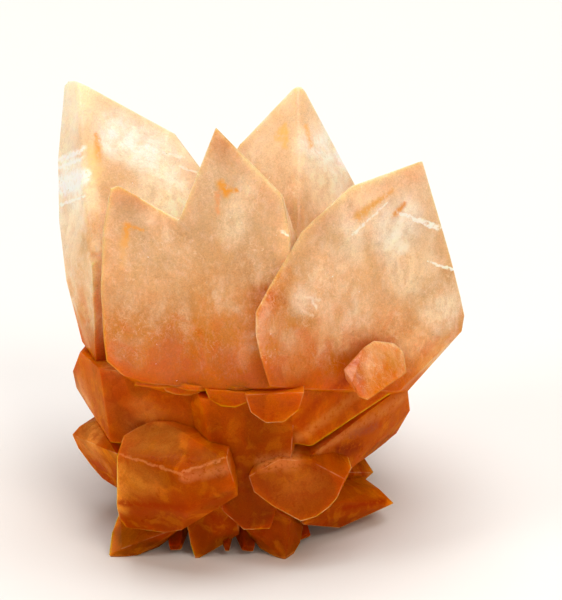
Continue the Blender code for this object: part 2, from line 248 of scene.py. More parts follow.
def speck_group() -> bpy.types.NodeTree:
    """Make the mask of a few tiny specks of dust."""
    sheet, given, result = EffectGroup("speck", {"Scale": 0.3, "Size": 0.05, "Share": 0.5}).open()
    cells = sheet.place("ShaderNodeTexVoronoi", feature="F1")
    sheet.feed(cells.inputs["Vector"], given["Vector"])
    sheet.feed(cells.inputs["Scale"], given["Scale"])
    parts = sheet.parts(cells.outputs["Color"])
    size = sheet.times(given["Size"], parts["Y"])
    dot = sheet.fade(cells.outputs["Distance"], size, sheet.times(size, 0.5))
    chosen = sheet.math("LESS_THAN", parts["X"], given["Share"])
    sheet.feed(result, sheet.times(dot, chosen))
    return sheet.tree


def feather_group() -> bpy.types.NodeTree:
    """Make the mask of feathers: short, thin streaks that run along three cleavage directions."""
    sheet, given, result = EffectGroup("feather", {"Scale": 1.0, "Start": 0.6, "Full": 0.75}).open()
    bend = sheet.vector("SCALE", sheet.drift(given["Vector"], 0.45), 4.5)
    curved = sheet.vector("ADD", given["Vector"], bend)
    streaks = []
    for turn in (-58.0, 12.0, 38.0):
        feeds = {"Vector": curved, "Angle": math.radians(turn)}
        turned = sheet.place("ShaderNodeVectorRotate", feeds, rotation_type="Y_AXIS")
        drawn = sheet.vector("MULTIPLY_ADD", turned.outputs[0], (2.0, 0.6, 0.3), (turn, 0.0, 0.0))
        cloud = sheet.noise(drawn, given["Scale"], detail=3.0, rough=0.6)
        streaks.append(sheet.fade(cloud, given["Start"], given["Full"]))
    both = sheet.math("MAXIMUM", streaks[0], streaks[1])
    sheet.feed(result, sheet.math("MAXIMUM", both, streaks[2]))
    return sheet.tree


@dataclass(frozen=True)
class Tint:
    """A soft patch of another colour: mostly colour inside the crystals, in a few places painted light and
    shade.

    Attributes:
        centre: Middle of the patch.
        reach: How far it goes along X, Y and Z.
        colour: Its colour as a screen shows it.
        share: How much of it covers the crystal's own colour.
        core: The share of its reach that is fully covered.
    """

    centre: Triple
    reach: Triple
    colour: Triple
    share: float = 0.8
    core: float = 0.2


@dataclass(frozen=True)
class Stroke:
    """A line drawn in the crystal's colour: a leg of a phantom tip, a healed crack, and on one face a band
    of painted reflection.

    Attributes:
        start, end: Its two ends.
        width: Half its width at the start.
        growth: How much wider it is at the end.
        colour: Its colour as a screen shows it.
        share: How much of it covers what lies behind.
        core: The share of its width that is fully covered.
    """

    start: Triple
    end: Triple
    width: float
    growth: float
    colour: Triple
    share: float = 0.8
    core: float = 0.2


@dataclass(frozen=True)
class Draft:
    """What all the layers of one material read.

    Attributes:
        sheet: The sheet that the material is drawn on.
        groups: The shared effects by name.
        place, loose: Place in the crystals in millimetres, as it is and with a wandering shift.
        height: Height from the waist.
        pale: 0 below the waist to 1 above it.
        band: Noise drawn out along the crystals.
    """

    sheet: NodeSheet
    groups: Groups
    place: Socket
    loose: Socket
    height: Socket
    pale: Socket
    band: Socket


@dataclass(frozen=True)
class CalciteFinish:
    """One finish of the calcite, built as a material.

    Attributes:
        surface: Which surface it is for.
        zones: Height from the waist, and the colour there.
        wander: How far the soft patches stray from their places.
        veil_colour, veil_share: Colour of the cloudy veils and how much they cover.
        strokes: Lines at given places.
        flatness: What the depth, front to back, counts for in a stroke's shape.
        feather_colour, feather_share: Colour of the feathers and how much they cover.
        rust_colour, rust_share: Colour and cover of the upright streaks above the waist.
        painted_glow_colour, painted_glow_share: Painted glow: a colour laid on thin places below the waist,
            standing in for the light that shines through them, and how much it covers.
        ember_colour, ember_share: Colour and cover of the dark bands below the waist.
        plane_tone, grain, band_tone: How far inner planes, grain and bands lighten or darken.
        dust_colour, dust_share: Colour of the specks of dust and how much they cover.
        rim_width: How far the painted shade beside a sharp edge reaches.
            rim_shade_tone, pale_rim_shade_tone: What multiplies the colour there as painted shade, below and
                above the waist.
        stain_and_crevice_light, stain_and_crevice_light_share: Colour in the crevices, partly iron staining
        and partly painted light for the glow through the stone there, and how much it covers.
        edge_highlight_colour, edge_highlight_share, edge_highlight_width: A painted highlight: the pale line
        along worn edges, standing in for the light their rounding catches.
        roughness, roughness_swing: Roughness and how far it varies.
        relief: Height of the relief that is too fine for the mesh.
        ior, specular, specular_tint: How the surface bends and mirrors light.
        polish, polish_roughness, polish_ior: How strongly and sharply the smoothest patches mirror.
        subsurface, depth, scatter: How much light goes in, how deep, and the share of each colour.
        transmission: How much light goes straight through.
        waist, waist_slope, waist_turn: Height of the waist, and how it falls right of a place.
    """

    surface: Surface
    zones: tuple[tuple[float, Triple], ...]
    wander: float = 8.0
    veil_colour: Triple = (255, 236, 210)
    veil_share: float = 0.35
    strokes: tuple[Stroke, ...] = ()
    flatness: float = 0.3
    feather_colour: Triple = (252, 226, 190)
    feather_share: float = 0.0
    rust_colour: Triple = (200, 96, 26)
    rust_share: float = 0.6
    painted_glow_colour: Triple = (232, 136, 10)
    painted_glow_share: float = 0.6
    ember_colour: Triple = (150, 44, 0)
    ember_share: float = 0.5
    plane_tone: float = 0.3
    grain: float = 0.7
    band_tone: float = 0.3
    dust_colour: Triple = (92, 40, 14)
    dust_share: float = 0.6
    rim_width: float = 0.4
    rim_shade_tone: Triple = (232, 196, 152)
    pale_rim_shade_tone: Triple = (190, 160, 135)
    stain_and_crevice_light: Triple = (206, 94, 0)
    stain_and_crevice_light_share: float = 0.8
    edge_highlight_colour: Triple = (240, 190, 132)
    edge_highlight_share: float = 0.28
    edge_highlight_width: float = 0.25
    roughness: float = 0.3
    roughness_swing: float = 0.12
    relief: float = 0.07
    ior: float = 1.6
    specular: float = 0.0
    specular_tint: Triple = (1.0, 0.6, 0.25)
    polish: float = 0.34
    polish_roughness: float = 0.14
    polish_ior: float = 1.5
    subsurface: float = 1.0
    depth: float = 4.5
    scatter: Triple = (1.0, 0.6, 0.34)
    transmission: float = 0.06
    waist: float = 36.0
    waist_slope: float = 0.33
    waist_turn: float = 11.0

    def build(self, groups: Groups) -> bpy.types.Material:
        """Make the material.

        Args:
            groups: The shared effects by name.

        Returns:
            The material.
        """
        material = bpy.data.materials.new(self.surface.value)
        material.use_nodes = True
        sheet = NodeSheet(material.node_tree)
        shader = material.node_tree.nodes["Principled BSDF"]
        place = sheet.vector("SCALE", sheet.place("ShaderNodeTexCoord").outputs["Object"], 1.0 / MM)
        shift = sheet.vector("SCALE", sheet.drift(place, 0.11), self.wander)
        loose = sheet.vector("ADD", place, shift)
        height = self.height(sheet, loose)
        band = sheet.group(groups["fan"], Vector=loose)
        draft = Draft(sheet, groups, place, loose, height, sheet.fade(height, -4.0, 8.0), band)
        colour = self.zoned(draft)
        for layer in (self.tinted, self.veiled, self.banded, self.grained, self.crevice_stain_and_light):
            colour = layer(draft, colour)
        if self.feather_share:
            colour = self.feathered(draft, colour)
        if self.strokes:
            colour = self.marked(draft, colour)
        sheet.feed(shader.inputs["Base Color"], self.edged(draft, colour))
        self.surfaced(draft, shader)
        return material

    def height(self, sheet: NodeSheet, place: Socket) -> Socket:
        """Measure the height from the waist, which falls towards the right."""
        parts = sheet.parts(place)
        beyond = sheet.math("MAXIMUM", sheet.math("SUBTRACT", parts["X"], self.waist_turn), 0.0)
        fall = sheet.times(beyond, self.waist_slope)
        return sheet.math("ADD", sheet.math("SUBTRACT", parts["Z"], self.waist), fall)

    def zoned(self, draft: Draft) -> Socket:
        """Colour the crystal by its height from the waist."""
        sheet = draft.sheet
        low, high = self.zones[0][0], self.zones[-1][0]
        share = sheet.times(sheet.math("SUBTRACT", draft.height, low), 1.0 / (high - low))
        ramp = sheet.place("ShaderNodeValToRGB", {0: share})
        stops = ramp.color_ramp.elements
        while len(stops) < len(self.zones):
            stops.new(1.0)
        for stop, (level, colour) in zip(stops, self.zones):
            stop.position = (level - low) / (high - low)
            stop.color = linear(colour)
        return ramp.outputs["Color"]

    def tinted(self, draft: Draft, colour: Socket) -> Socket:
        """Lay the patches that the mesh carries over the zone's colour, with ragged cover."""
        sheet = draft.sheet
        tint = sheet.place("ShaderNodeAttribute", attribute_name="tint").outputs
        cloud = sheet.noise(draft.loose, 0.35, detail=5.0, rough=0.68)
        torn = sheet.math("ADD", sheet.times(sheet.fade(cloud, 0.34, 0.62), 0.5), 0.5)
        kept = sheet.math("SUBTRACT", 1.0, sheet.times(tint["Alpha"], torn))
        shown = sheet.vector("SCALE", tint["Color"], torn)
        return sheet.vector("MULTIPLY_ADD", colour, kept, shown)

    def veiled(self, draft: Draft, colour: Socket) -> Socket:
        """Add the cloudy veils, wide ones and fine ones."""
        sheet, veil = draft.sheet, draft.groups["veil"]
        wide = {"Vector": draft.loose, "Stretch": (1.0, 0.8, 0.6), "Scale": 0.2, "Start": 0.46, "Full": 0.74}
        fine = {"Vector": draft.place, "Stretch": (1.0, 1.0, 0.5), "Scale": 1.1, "Start": 0.48, "Full": 0.74}
        both = sheet.math("MULTIPLY_ADD", sheet.group(veil, **fine), 0.45, sheet.group(veil, **wide))
        share = sheet.times(both, self.veil_share, sheet.fade(draft.height, 0.0, 16.0))
        return sheet.mix(share, colour, linear(self.veil_colour))

    def banded(self, draft: Draft, colour: Socket) -> Socket:
        """Add rust streaks above the waist, dark bands below it, and below it a painted glow at thin places
        and along brighter bands.
        """
        sheet, band = draft.sheet, draft.band
        rust = sheet.times(sheet.fade(band, 0.46, 0.66), sheet.fade(draft.height, 22.0, 3.0))
        rust = sheet.times(rust, sheet.fade(draft.height, -6.0, 1.0), self.rust_share)
        colour = sheet.mix(rust, colour, linear(self.rust_colour))
        deep = sheet.math("SUBTRACT", 1.0, draft.pale)
        ember = sheet.times(sheet.fade(band, 0.52, 0.68), deep, self.ember_share)
        colour = sheet.mix(ember, colour, linear(self.ember_colour))
        # Painted glow: a golden colour on thin places, standing in for the light that shines through them,
        # and also along random brighter bands
        bright = sheet.times(sheet.fade(band, 0.5, 0.36), 0.35)
        glow = sheet.math("ADD", sheet.attribute("thin"), bright, clamp=True)
        return sheet.mix(sheet.times(glow, deep, self.painted_glow_share), colour, linear(self.painted_glow_colour))

    def grained(self, draft: Draft, colour: Socket) -> Socket:
        """Vary the tone by inner planes, bands and a fine grain, and drop specks of dust."""
        sheet = draft.sheet
        plane = sheet.math("SUBTRACT", sheet.group(draft.groups["plane"], Vector=draft.loose), 0.5)
        clear = sheet.times(sheet.math("SUBTRACT", 1.4, draft.pale), self.plane_tone)
        grain = sheet.math("SUBTRACT", sheet.noise(draft.place, 3.2, rough=0.9), 0.5)
        band = sheet.times(sheet.math("SUBTRACT", draft.band, 0.5), self.band_tone)
        change = sheet.math("MULTIPLY_ADD", grain, self.grain, band)
        change = sheet.math("ADD", change, sheet.times(plane, clear))
        colour = sheet.vector("SCALE", colour, sheet.math("ADD", change, 1.0))
        dust = sheet.group(draft.groups["speck"], Vector=draft.place, Scale=0.3, Size=0.06, Share=0.35)
        return sheet.mix(sheet.times(dust, self.dust_share), colour, linear(self.dust_colour))

    def crevice_stain_and_light(self, draft: Draft, colour: Socket) -> Socket:
        """Lay a deep, saturated orange in the crevices: partly iron staining, partly painted light for the
        glow through the stone where shade falls.
        """
        sheet, height = draft.sheet, draft.height
        # Iron staining and painted light: a deep, saturated orange where the mesh is sheltered, standing in
        # for the staining and for the glow through the stone in shaded crevices
        share = sheet.times(sheet.fade(sheet.attribute("shelter"), 0.25, 0.85), self.stain_and_crevice_light_share)
        share = sheet.times(share, sheet.fade(height, -34.0, -22.0), sheet.fade(height, 22.0, 4.0))
        return sheet.mix(share, colour, linear(self.stain_and_crevice_light))

    def feathered(self, draft: Draft, colour: Socket) -> Socket:
        """Add the feathers, in drifts above the waist."""
        sheet = draft.sheet
        feather = sheet.group(draft.groups["feather"], Vector=draft.place, Scale=1.3, Start=0.56, Full=0.74)
        drifts = sheet.fade(sheet.noise(draft.loose, 0.12, detail=3.0), 0.4, 0.62)
        dense = sheet.times(drifts, sheet.fade(draft.height, 1.0, 14.0))
        share = sheet.times(sheet.times(feather, self.feather_share), dense)
        return sheet.mix(share, colour, linear(self.feather_colour))

    def marked(self, draft: Draft, colour: Socket) -> Socket:
        """Add the strokes: phantom tips, healed cracks and bands of painted reflection, with ragged edges
        and gaps.
        """
        sheet = draft.sheet
        ragged = sheet.vector("MULTIPLY_ADD", sheet.drift(draft.place, 0.9), (1.1, 1.1, 1.1), draft.place)
        ragged = sheet.vector("MULTIPLY", ragged, (1.0, self.flatness, 1.0))
        whole = sheet.fade(sheet.noise(draft.place, 1.3, detail=4.0, rough=0.65), 0.3, 0.52)
        for stroke in self.strokes:
            start, end = (Vector((x, self.flatness * y, z)) for x, y, z in (stroke.start, stroke.end))
            way = end - start
            mark = sheet.group(
                draft.groups["stroke"],
                Vector=ragged,
                Start=start,
                Way=way,
                Pace=way / way.length_squared,
                Width=stroke.width,
                Growth=stroke.growth,
                Core=stroke.core,
            )
            colour = sheet.mix(sheet.times(mark, stroke.share, whole), colour, linear(stroke.colour))
        return colour

    def edged(self, draft: Draft, colour: Socket) -> Socket:
        """Paint shade as a deeper colour beside the sharp edges, and a painted highlight as a pale, broken
        line along the worn ones.
        """
        sheet, pale = draft.sheet, draft.pale
        distance = sheet.times(sheet.attribute("rim_distance"), 1.0 / MM)
        # Painted shade: a deeper colour beside the sharp edges, standing in for the dark line that
        # refraction gives along them
        strong = sheet.math("MAXIMUM", sheet.times(pale, 0.65), 0.5)
        rim = sheet.times(sheet.fade(distance, self.rim_width, 0.0), strong)
        tone = sheet.mix(pale, linear(self.rim_shade_tone), linear(self.pale_rim_shade_tone))
        colour = sheet.mix(rim, colour, sheet.mix(1.0, colour, tone, "MULTIPLY"))
        # Painted highlight: a pale, broken line along the worn edges, standing in for the light their
        # rounding catches
        worn = sheet.times(sheet.fade(distance, self.edge_highlight_width, 0.0), self.edge_highlight_share)
        gaps = sheet.fade(sheet.noise(draft.place, 0.35, detail=3.0), 0.38, 0.66)
        worn = sheet.times(worn, gaps, sheet.math("SUBTRACT", 1.0, pale))
        return sheet.mix(worn, colour, linear(self.edge_highlight_colour))

    def surfaced(self, draft: Draft, shader: bpy.types.Node) -> None:
        """Set the gloss, the relief too fine for the mesh, and how light goes through."""
        sheet, place = draft.sheet, draft.place
        cloud = sheet.noise(draft.loose, 0.25, detail=4.0, rough=0.6)
        swing = sheet.times(sheet.math("SUBTRACT", cloud, 0.5), self.roughness_swing * 2)
        edge = sheet.times(sheet.attribute("edge_distance"), 1.0 / MM)
        turns = sheet.math("ADD", sheet.times(edge, 5.0), sheet.times(cloud, 14.0))
        lines = sheet.times(sheet.math("SINE", turns), 0.08)
        fine = sheet.noise(place, 2.2, detail=4.0, rough=0.65)
        feeds = {"Strength": 0.5, "Distance": self.relief * MM, "Height": sheet.math("ADD", fine, lines)}
        bump = sheet.place("ShaderNodeBump", feeds)
        smooth = sheet.fade(sheet.noise(place, 0.09, detail=3.0), 0.44, 0.6)
        patches = sheet.math("ADD", smooth, 0.5, clamp=True)
        polish = sheet.times(patches, sheet.math("ADD", draft.pale, 0.08, clamp=True))
        values = {
            "Roughness": sheet.math("ADD", swing, self.roughness, clamp=True),
            "Normal": bump.outputs["Normal"],
            "Coat Weight": sheet.times(polish, self.polish),
            "Coat Roughness": self.polish_roughness,
            "Coat IOR": self.polish_ior,
            "Metallic": 0.0,
            "IOR": self.ior,
            "Specular IOR Level": self.specular,
            "Specular Tint": (*self.specular_tint, 1.0),
            "Subsurface Weight": self.subsurface,
            "Subsurface Radius": self.scatter,
            "Subsurface Scale": self.depth * MM,
            "Transmission Weight": self.transmission,
        }
        for name, value in values.items():
            sheet.feed(shader.inputs[name], value)


def make_object(name: str, shape: bmesh.types.BMesh) -> bpy.types.Object:
    """Turn a finished shape into an object of this name in the scene."""
    mesh = bpy.data.meshes.new(name)
    shape.to_mesh(mesh)
    shape.free()
    obj = bpy.data.objects.new(name, mesh)
    bpy.context.scene.collection.objects.link(obj)
    return obj


def bevel(shape: bmesh.types.BMesh, edges: list, width: float, cuts: int, profile: float) -> None:
    """Cut edges back and round them.

    Args:
        shape: The shape that has the edges.
        edges: The edges.
        width: How far they are cut back.
        cuts: Number of faces that round an edge.
        profile: How full the round is: 0.5 is a part of a circle.
    """
    bmesh.ops.bevel(
        shape,
        geom=edges,
        offset=width * MM,
        offset_type="OFFSET",
        segments=cuts,
        profile=profile,
        affect="EDGES",
        clamp_overlap=True,
    )


def shade(mesh: bpy.types.Mesh, angle: float) -> None:
    """Shade a mesh smoothly, apart from edges of at least this angle in degrees."""
    mesh.shade_smooth()
    mesh.set_sharp_from_angle(angle=math.radians(angle))


@dataclass(frozen=True)
class SoftRidge:
    """A ridge that is worn much rounder than the others."""

    start: Triple
    end: Triple
    round: float


@dataclass
class CrystalCluster:
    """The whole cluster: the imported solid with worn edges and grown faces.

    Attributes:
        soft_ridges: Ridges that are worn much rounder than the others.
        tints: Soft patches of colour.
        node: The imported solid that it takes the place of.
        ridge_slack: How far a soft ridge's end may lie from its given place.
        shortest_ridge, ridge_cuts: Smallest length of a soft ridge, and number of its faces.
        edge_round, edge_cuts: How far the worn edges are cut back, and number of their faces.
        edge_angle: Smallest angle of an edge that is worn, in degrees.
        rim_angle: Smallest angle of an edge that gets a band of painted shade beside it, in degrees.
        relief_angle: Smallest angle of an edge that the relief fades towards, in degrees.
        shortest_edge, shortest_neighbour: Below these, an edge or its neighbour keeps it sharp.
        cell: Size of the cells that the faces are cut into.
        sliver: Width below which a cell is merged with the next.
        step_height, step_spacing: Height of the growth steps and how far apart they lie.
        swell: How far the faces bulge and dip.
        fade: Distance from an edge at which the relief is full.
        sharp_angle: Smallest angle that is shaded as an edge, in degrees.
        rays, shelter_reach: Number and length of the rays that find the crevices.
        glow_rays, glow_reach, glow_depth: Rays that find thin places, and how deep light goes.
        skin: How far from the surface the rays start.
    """

    soft_ridges: tuple[SoftRidge, ...]
    tints: tuple[Tint, ...]
    node: str = "calcite_cluster"
    ridge_slack: float = 1.5
    shortest_ridge: float = 5.0
    ridge_cuts: int = 15
    edge_round: float = 0.22
    edge_cuts: int = 2
    edge_angle: float = 12.0
    rim_angle: float = 50.0
    relief_angle: float = 15.0
    shortest_edge: float = 0.8
    shortest_neighbour: float = 0.6
    cell: float = 1.2
    sliver: float = 0.05
    step_height: float = 0.1
    step_spacing: float = 7.0
    swell: float = 0.9
    fade: float = 2.5
    sharp_angle: float = 16.0
    rays: int = 14
    shelter_reach: float = 14.0
    glow_rays: int = 5
    glow_reach: float = 20.0
    glow_depth: float = 6.0
    skin: float = 0.05

    def build(self, materials: dict[Surface, bpy.types.Material]) -> bpy.types.Object:
        """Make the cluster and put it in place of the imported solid.

        Args:
            materials: The finish of each surface.

        Returns:
            The cluster.
        """
        shape = self.merged_copy()
        self.soften_ridges(shape)
        rims = self.wear_edges(shape)
        self.cut_cells(shape)
        self.measure_rims(shape, rims)
        self.find_shelter(shape)
        obj = make_object("calcite_crystals", shape)
        self.grow_faces(obj, materials)
        lay_tints(obj.data, self.tints)
        shade(obj.data, self.sharp_angle)
        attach(obj, "root")
        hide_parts(self.node)
        LOG.info("Cluster has %d faces", len(obj.data.polygons))
        return obj

    def merged_copy(self) -> bmesh.types.BMesh:
        """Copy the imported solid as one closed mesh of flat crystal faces."""
        shape = bmesh.new()
        shape.from_mesh(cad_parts[self.node].data)
        bmesh.ops.remove_doubles(shape, verts=shape.verts, dist=TOUCH)
        bmesh.ops.dissolve_limit(shape, angle_limit=math.radians(1.0), verts=shape.verts, edges=shape.edges)
        shape.normal_update()
        return shape

    def soften_ridges(self, shape: bmesh.types.BMesh) -> None:
        """Round the few ridges that are worn much more than the others, the roundest first."""
        slack, shortest = self.ridge_slack * MM, self.shortest_ridge * MM
        for width in sorted({ridge.round for ridge in self.soft_ridges}, reverse=True):
            found = []
            for ridge in self.soft_ridges:
                ends = [Vector(ridge.start) * MM, Vector(ridge.end) * MM]
                for edge in shape.edges:
                    near = [min((corner.co - end).length for end in ends) < slack for corner in edge.verts]
                    if ridge.round == width and all(near) and edge.calc_length() > shortest:
                        found.append(edge)
            LOG.info("Soft ridges of %.1f mm have %d edges", width, len(found))
            bevel(shape, found, width, self.ridge_cuts, 0.5)

    def wear_edges(self, shape: bmesh.types.BMesh) -> np.ndarray:
        """Round the outer edges of the crystals a little.

        Args:
            shape: The crystals.

        Returns:
            The two ends of each edge that stood out sharply.
        """
        worn = []
        for edge in shape.edges:
            if edge.calc_length() < self.shortest_edge * MM or not edge.is_convex:
                continue
            if edge.calc_face_angle() < math.radians(self.edge_angle):
                continue
            near = [other for corner in edge.verts for other in corner.link_edges]
            if min(other.calc_length() for other in near) > self.shortest_neighbour * MM:
                worn.append(edge)
        strong = [edge for edge in worn if edge.calc_face_angle() > math.radians(self.rim_angle)]
        rims = np.array([[corner.co[:] for corner in edge.verts] for edge in strong])
        bevel(shape, worn, self.edge_round, self.edge_cuts, 0.6)
        return rims

    def cut_cells(self, shape: bmesh.types.BMesh) -> None:
        """Cut the faces into small cells, so that relief can be raised on them."""
        corners = np.array([corner.co for corner in shape.verts])
        for axis in (2, 0, 1):
            normal = Vector(ORIGIN)
            normal[axis] = 1.0
            low, high = corners[:, axis].min(), corners[:, axis].max()
            for place in np.arange(low + self.cell * MM / 2, high, self.cell * MM):
                everything = shape.verts[:] + shape.edges[:] + shape.faces[:]
                middle = normal * float(place)
                bmesh.ops.bisect_plane(shape, geom=everything, plane_co=middle, plane_no=normal, dist=TOUCH)
        for _ in range(2):
            bmesh.ops.triangulate(shape, faces=shape.faces, quad_method="BEAUTY", ngon_method="BEAUTY")
            bmesh.ops.dissolve_degenerate(shape, dist=self.sliver * MM, edges=shape.edges)
        bmesh.ops.triangulate(shape, faces=shape.faces, quad_method="BEAUTY", ngon_method="BEAUTY")

    def measure_rims(self, shape: bmesh.types.BMesh, rims: np.ndarray) -> None:
        """Store how far each corner lies from the edges that stood out sharply."""
        layer = shape.verts.layers.float.new("rim_distance")
        starts, ways = rims[:, 0], rims[:, 1] - rims[:, 0]
        squares = (ways * ways).sum(axis=1)
        for corner in shape.verts:
            away = np.array(corner.co) - starts
            share = np.clip((away * ways).sum(axis=1) / squares, 0.0, 1.0)[:, None]
            corner[layer] = np.linalg.norm(away - ways * share, axis=1).min()

    def dome(self) -> list[Vector]:
        """Spread the rays evenly over a half ball, the steepest first."""
        turn = math.pi * (3.0 - math.sqrt(5.0))
        rays = []
        for number in range(self.rays):
            lift = math.sqrt(1.0 - (number + 0.5) / self.rays)
            flat = math.sqrt(1.0 - lift * lift)
            rays.append(Vector((flat * math.cos(turn * number), flat * math.sin(turn * number), lift)))
        return rays

    def find_shelter(self, shape: bmesh.types.BMesh) -> None:
        """Store how deep in a crevice each corner lies and how thin the crystal is there, from 0 to 1."""
        shape.normal_update()
        tree = BVHTree.FromBMesh(shape)
        layer = shape.verts.layers.float.new("shelter")
        thin = shape.verts.layers.float.new("thin")
        rays = self.dome()
        reach, glow_reach, skin = self.shelter_reach * MM, self.glow_reach * MM, self.skin * MM
        for corner in shape.verts:
            spin = corner.normal.to_track_quat("Z", "X")
            start = corner.co + corner.normal * skin
            hidden = 0.0
            for ray in rays:
                distance = tree.ray_cast(start, spin @ ray, reach)[3]
                if distance is not None:
                    hidden += 1.0 - distance / reach
            corner[layer] = hidden / self.rays
            inside = corner.co - corner.normal * skin
            depth = 0.0
            for ray in rays[: self.glow_rays]:
                distance = tree.ray_cast(inside, spin @ -ray, glow_reach)[3]
                depth += glow_reach if distance is None else distance
            corner[thin] = math.exp(-depth / self.glow_rays / (self.glow_depth * MM))

    def grow_faces(self, obj: bpy.types.Object, materials: dict[Surface, bpy.types.Material]) -> None:
        """Raise the growth steps and swells, and give each surface its finish."""
        values = {
            "Edge Angle": math.radians(self.relief_angle),
            "Step Height": self.step_height * MM,
            "Step Spacing": self.step_spacing,
            "Swell": self.swell * MM,
            "Fade": self.fade * MM,
            "Grown": materials[Surface.GROWN],
            "Broken": materials[Surface.BROKEN],
        }
        run_tree(obj, growth_tree(), values)


@dataclass(frozen=True)
class Shard:
    """A small crystal in a crevice: a slab with a wedge-shaped end.

    Attributes:
        root, tip: Where it grows from and where it ends.
        width, thickness: Its size across.
        roll: Turn about its own length, in degrees.
        shoulder: Share of its length at which the wedge begins.
    """

    root: Triple
    tip: Triple
    width: float
    thickness: float
    roll: float
    shoulder: float


@dataclass
class YoungCrystals:
    """Small crystals that fill the crevices between the large ones.

    Attributes:
        shards: The small crystals.
        tints: Soft patches of colour.
        edge_round, edge_cuts: How far their edges are cut back, and number of faces there.
        sharp_angle: Smallest angle that is shaded as an edge, in degrees.
        outline: Corners across a slab, as shares of half its width and half its thickness.
        point: What is left of a slab's width at its tip.
    """

    shards: tuple[Shard, ...]
    tints: tuple[Tint, ...]
    edge_round: float = 0.15
    edge_cuts: int = 2
    sharp_angle: float = 25.0
    outline: tuple[tuple[float, float], ...] = (
        (1, 0.7),
        (0.75, 1),
        (-0.8, 1),
        (-1, -0.6),
        (-0.7, -1),
        (0.85, -1),
    )
    point: float = 0.15

    def build(self, material: bpy.types.Material) -> bpy.types.Object:
        """Make all the small crystals as one object.

        Args:
            material: Finish of a grown face.

        Returns:
            The crystals.
        """
        shape = bmesh.new()
        for shard in self.shards:
            self.grow(shape, shard)
        bevel(shape, shape.edges[:], self.edge_round, self.edge_cuts, 0.6)
        obj = make_object("young_crystals", shape)
        mesh = obj.data
        mesh.materials.append(material)
        # Away from the edges and half sheltered all over, as in a crevice, which gives them part of the
        # crevice colour of iron staining and painted light
        for name, value in (("edge_distance", 3.0 * MM), ("rim_distance", 3.0 * MM), ("shelter", 0.3)):
            layer = mesh.attributes.new(name, "FLOAT", "POINT")
            layer.data.foreach_set("value", [value] * len(mesh.vertices))
        lay_tints(mesh, self.tints)
        shade(mesh, self.sharp_angle)
        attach(obj, "root")
        LOG.info("Young crystals have %d faces", len(mesh.polygons))
        return obj

    def grow(self, shape: bmesh.types.BMesh, shard: Shard) -> None:
        """Add one small crystal to the mesh."""
        root, tip = Vector(shard.root) * MM, Vector(shard.tip) * MM
        turn = (tip - root).to_track_quat("Z", "X")
        roll = Quaternion((0.0, 0.0, 1.0), math.radians(shard.roll))
        wide, thick, length = shard.width * MM / 2, shard.thickness * MM / 2, (tip - root).length
        places = []
        for level, slim in ((0.0, 1.0), (shard.shoulder, 1.0), (1.0, self.point)):
            for side, face in self.outline:
                flat = face * thick * (0.35 + 0.65 * slim)
                places.append(Vector((side * wide * slim, flat, level * length)))
        corners = [shape.verts.new(root + turn @ (roll @ place)) for place in places]
        hull = bmesh.ops.convex_hull(shape, input=corners)
        loose = hull["geom_interior"] + hull["geom_unused"]
        loose = {item for item in loose if isinstance(item, bmesh.types.BMVert)}
        bmesh.ops.delete(shape, geom=list(loose), context="VERTS")


@dataclass
class CleavageFlakes:
    """Tiny bright cleavage chips that lie on the crystals and glint.

    Attributes:
        density: Number on each square metre where they are thickest.
        size: Length of a chip.
        seed: Start of the random numbers.
        colour: Their colour as a screen shows it.
        roughness, ior: How sharply they mirror and how they bend light.
    """

    density: float = 60000.0
    size: float = 0.24
    seed: int = 7
    colour: Triple = (255, 250, 240)
    roughness: float = 0.12
    ior: float = 1.6

    def build(self, cluster: bpy.types.Object) -> bpy.types.Object:
        """Scatter the chips over the cluster.

        Args:
            cluster: The crystals that they lie on.

        Returns:
            The chips as one object.
        """
        obj = bpy.data.objects.new("cleavage_flakes", cluster.data.copy())
        bpy.context.scene.collection.objects.link(obj)
        values = {
            "Density": self.density,
            "Size": self.size * MM,
            "Seed": self.seed,
            "Material": self.material(),
        }
        run_tree(obj, flake_tree(), values)
        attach(obj, "root")
        LOG.info("Flakes have %d faces", len(obj.data.polygons))
        return obj

    def material(self) -> bpy.types.Material:
        """Make the clear, bright finish of a chip."""
        values = {"Base Color": linear(self.colour), "Roughness": self.roughness, "IOR": self.ior}
        return plain_material("bright_chip", values)


def plain_material(name: str, values: dict[str, object]) -> bpy.types.Material:
    """Make a material of even values, given by the names of the shader's inputs."""
    material = bpy.data.materials.new(name)
    material.use_nodes = True
    shader = material.node_tree.nodes["Principled BSDF"]
    for label, value in values.items():
        shader.inputs[label].default_value = value
    return material


def open_tree(name: str, sockets: dict[str, str]) -> tuple[NodeSheet, bpy.types.bpy_prop_collection]:
    """Make a geometry tree that takes and gives a geometry.

    Args:
        name: Name of the tree.
        sockets: Name of each other input to its kind.

    Returns:
        The sheet to draw on and what the tree is given.
    """
    tree = bpy.data.node_groups.new(name, "GeometryNodeTree")
    for label, kind in {"Geometry": "Geometry", **sockets}.items():
        tree.interface.new_socket(name=label, in_out="INPUT", socket_type=f"NodeSocket{kind}")
    tree.interface.new_socket(name="Geometry", in_out="OUTPUT", socket_type="NodeSocketGeometry")
    sheet = NodeSheet(tree)
    return sheet, sheet.place("NodeGroupInput").outputs


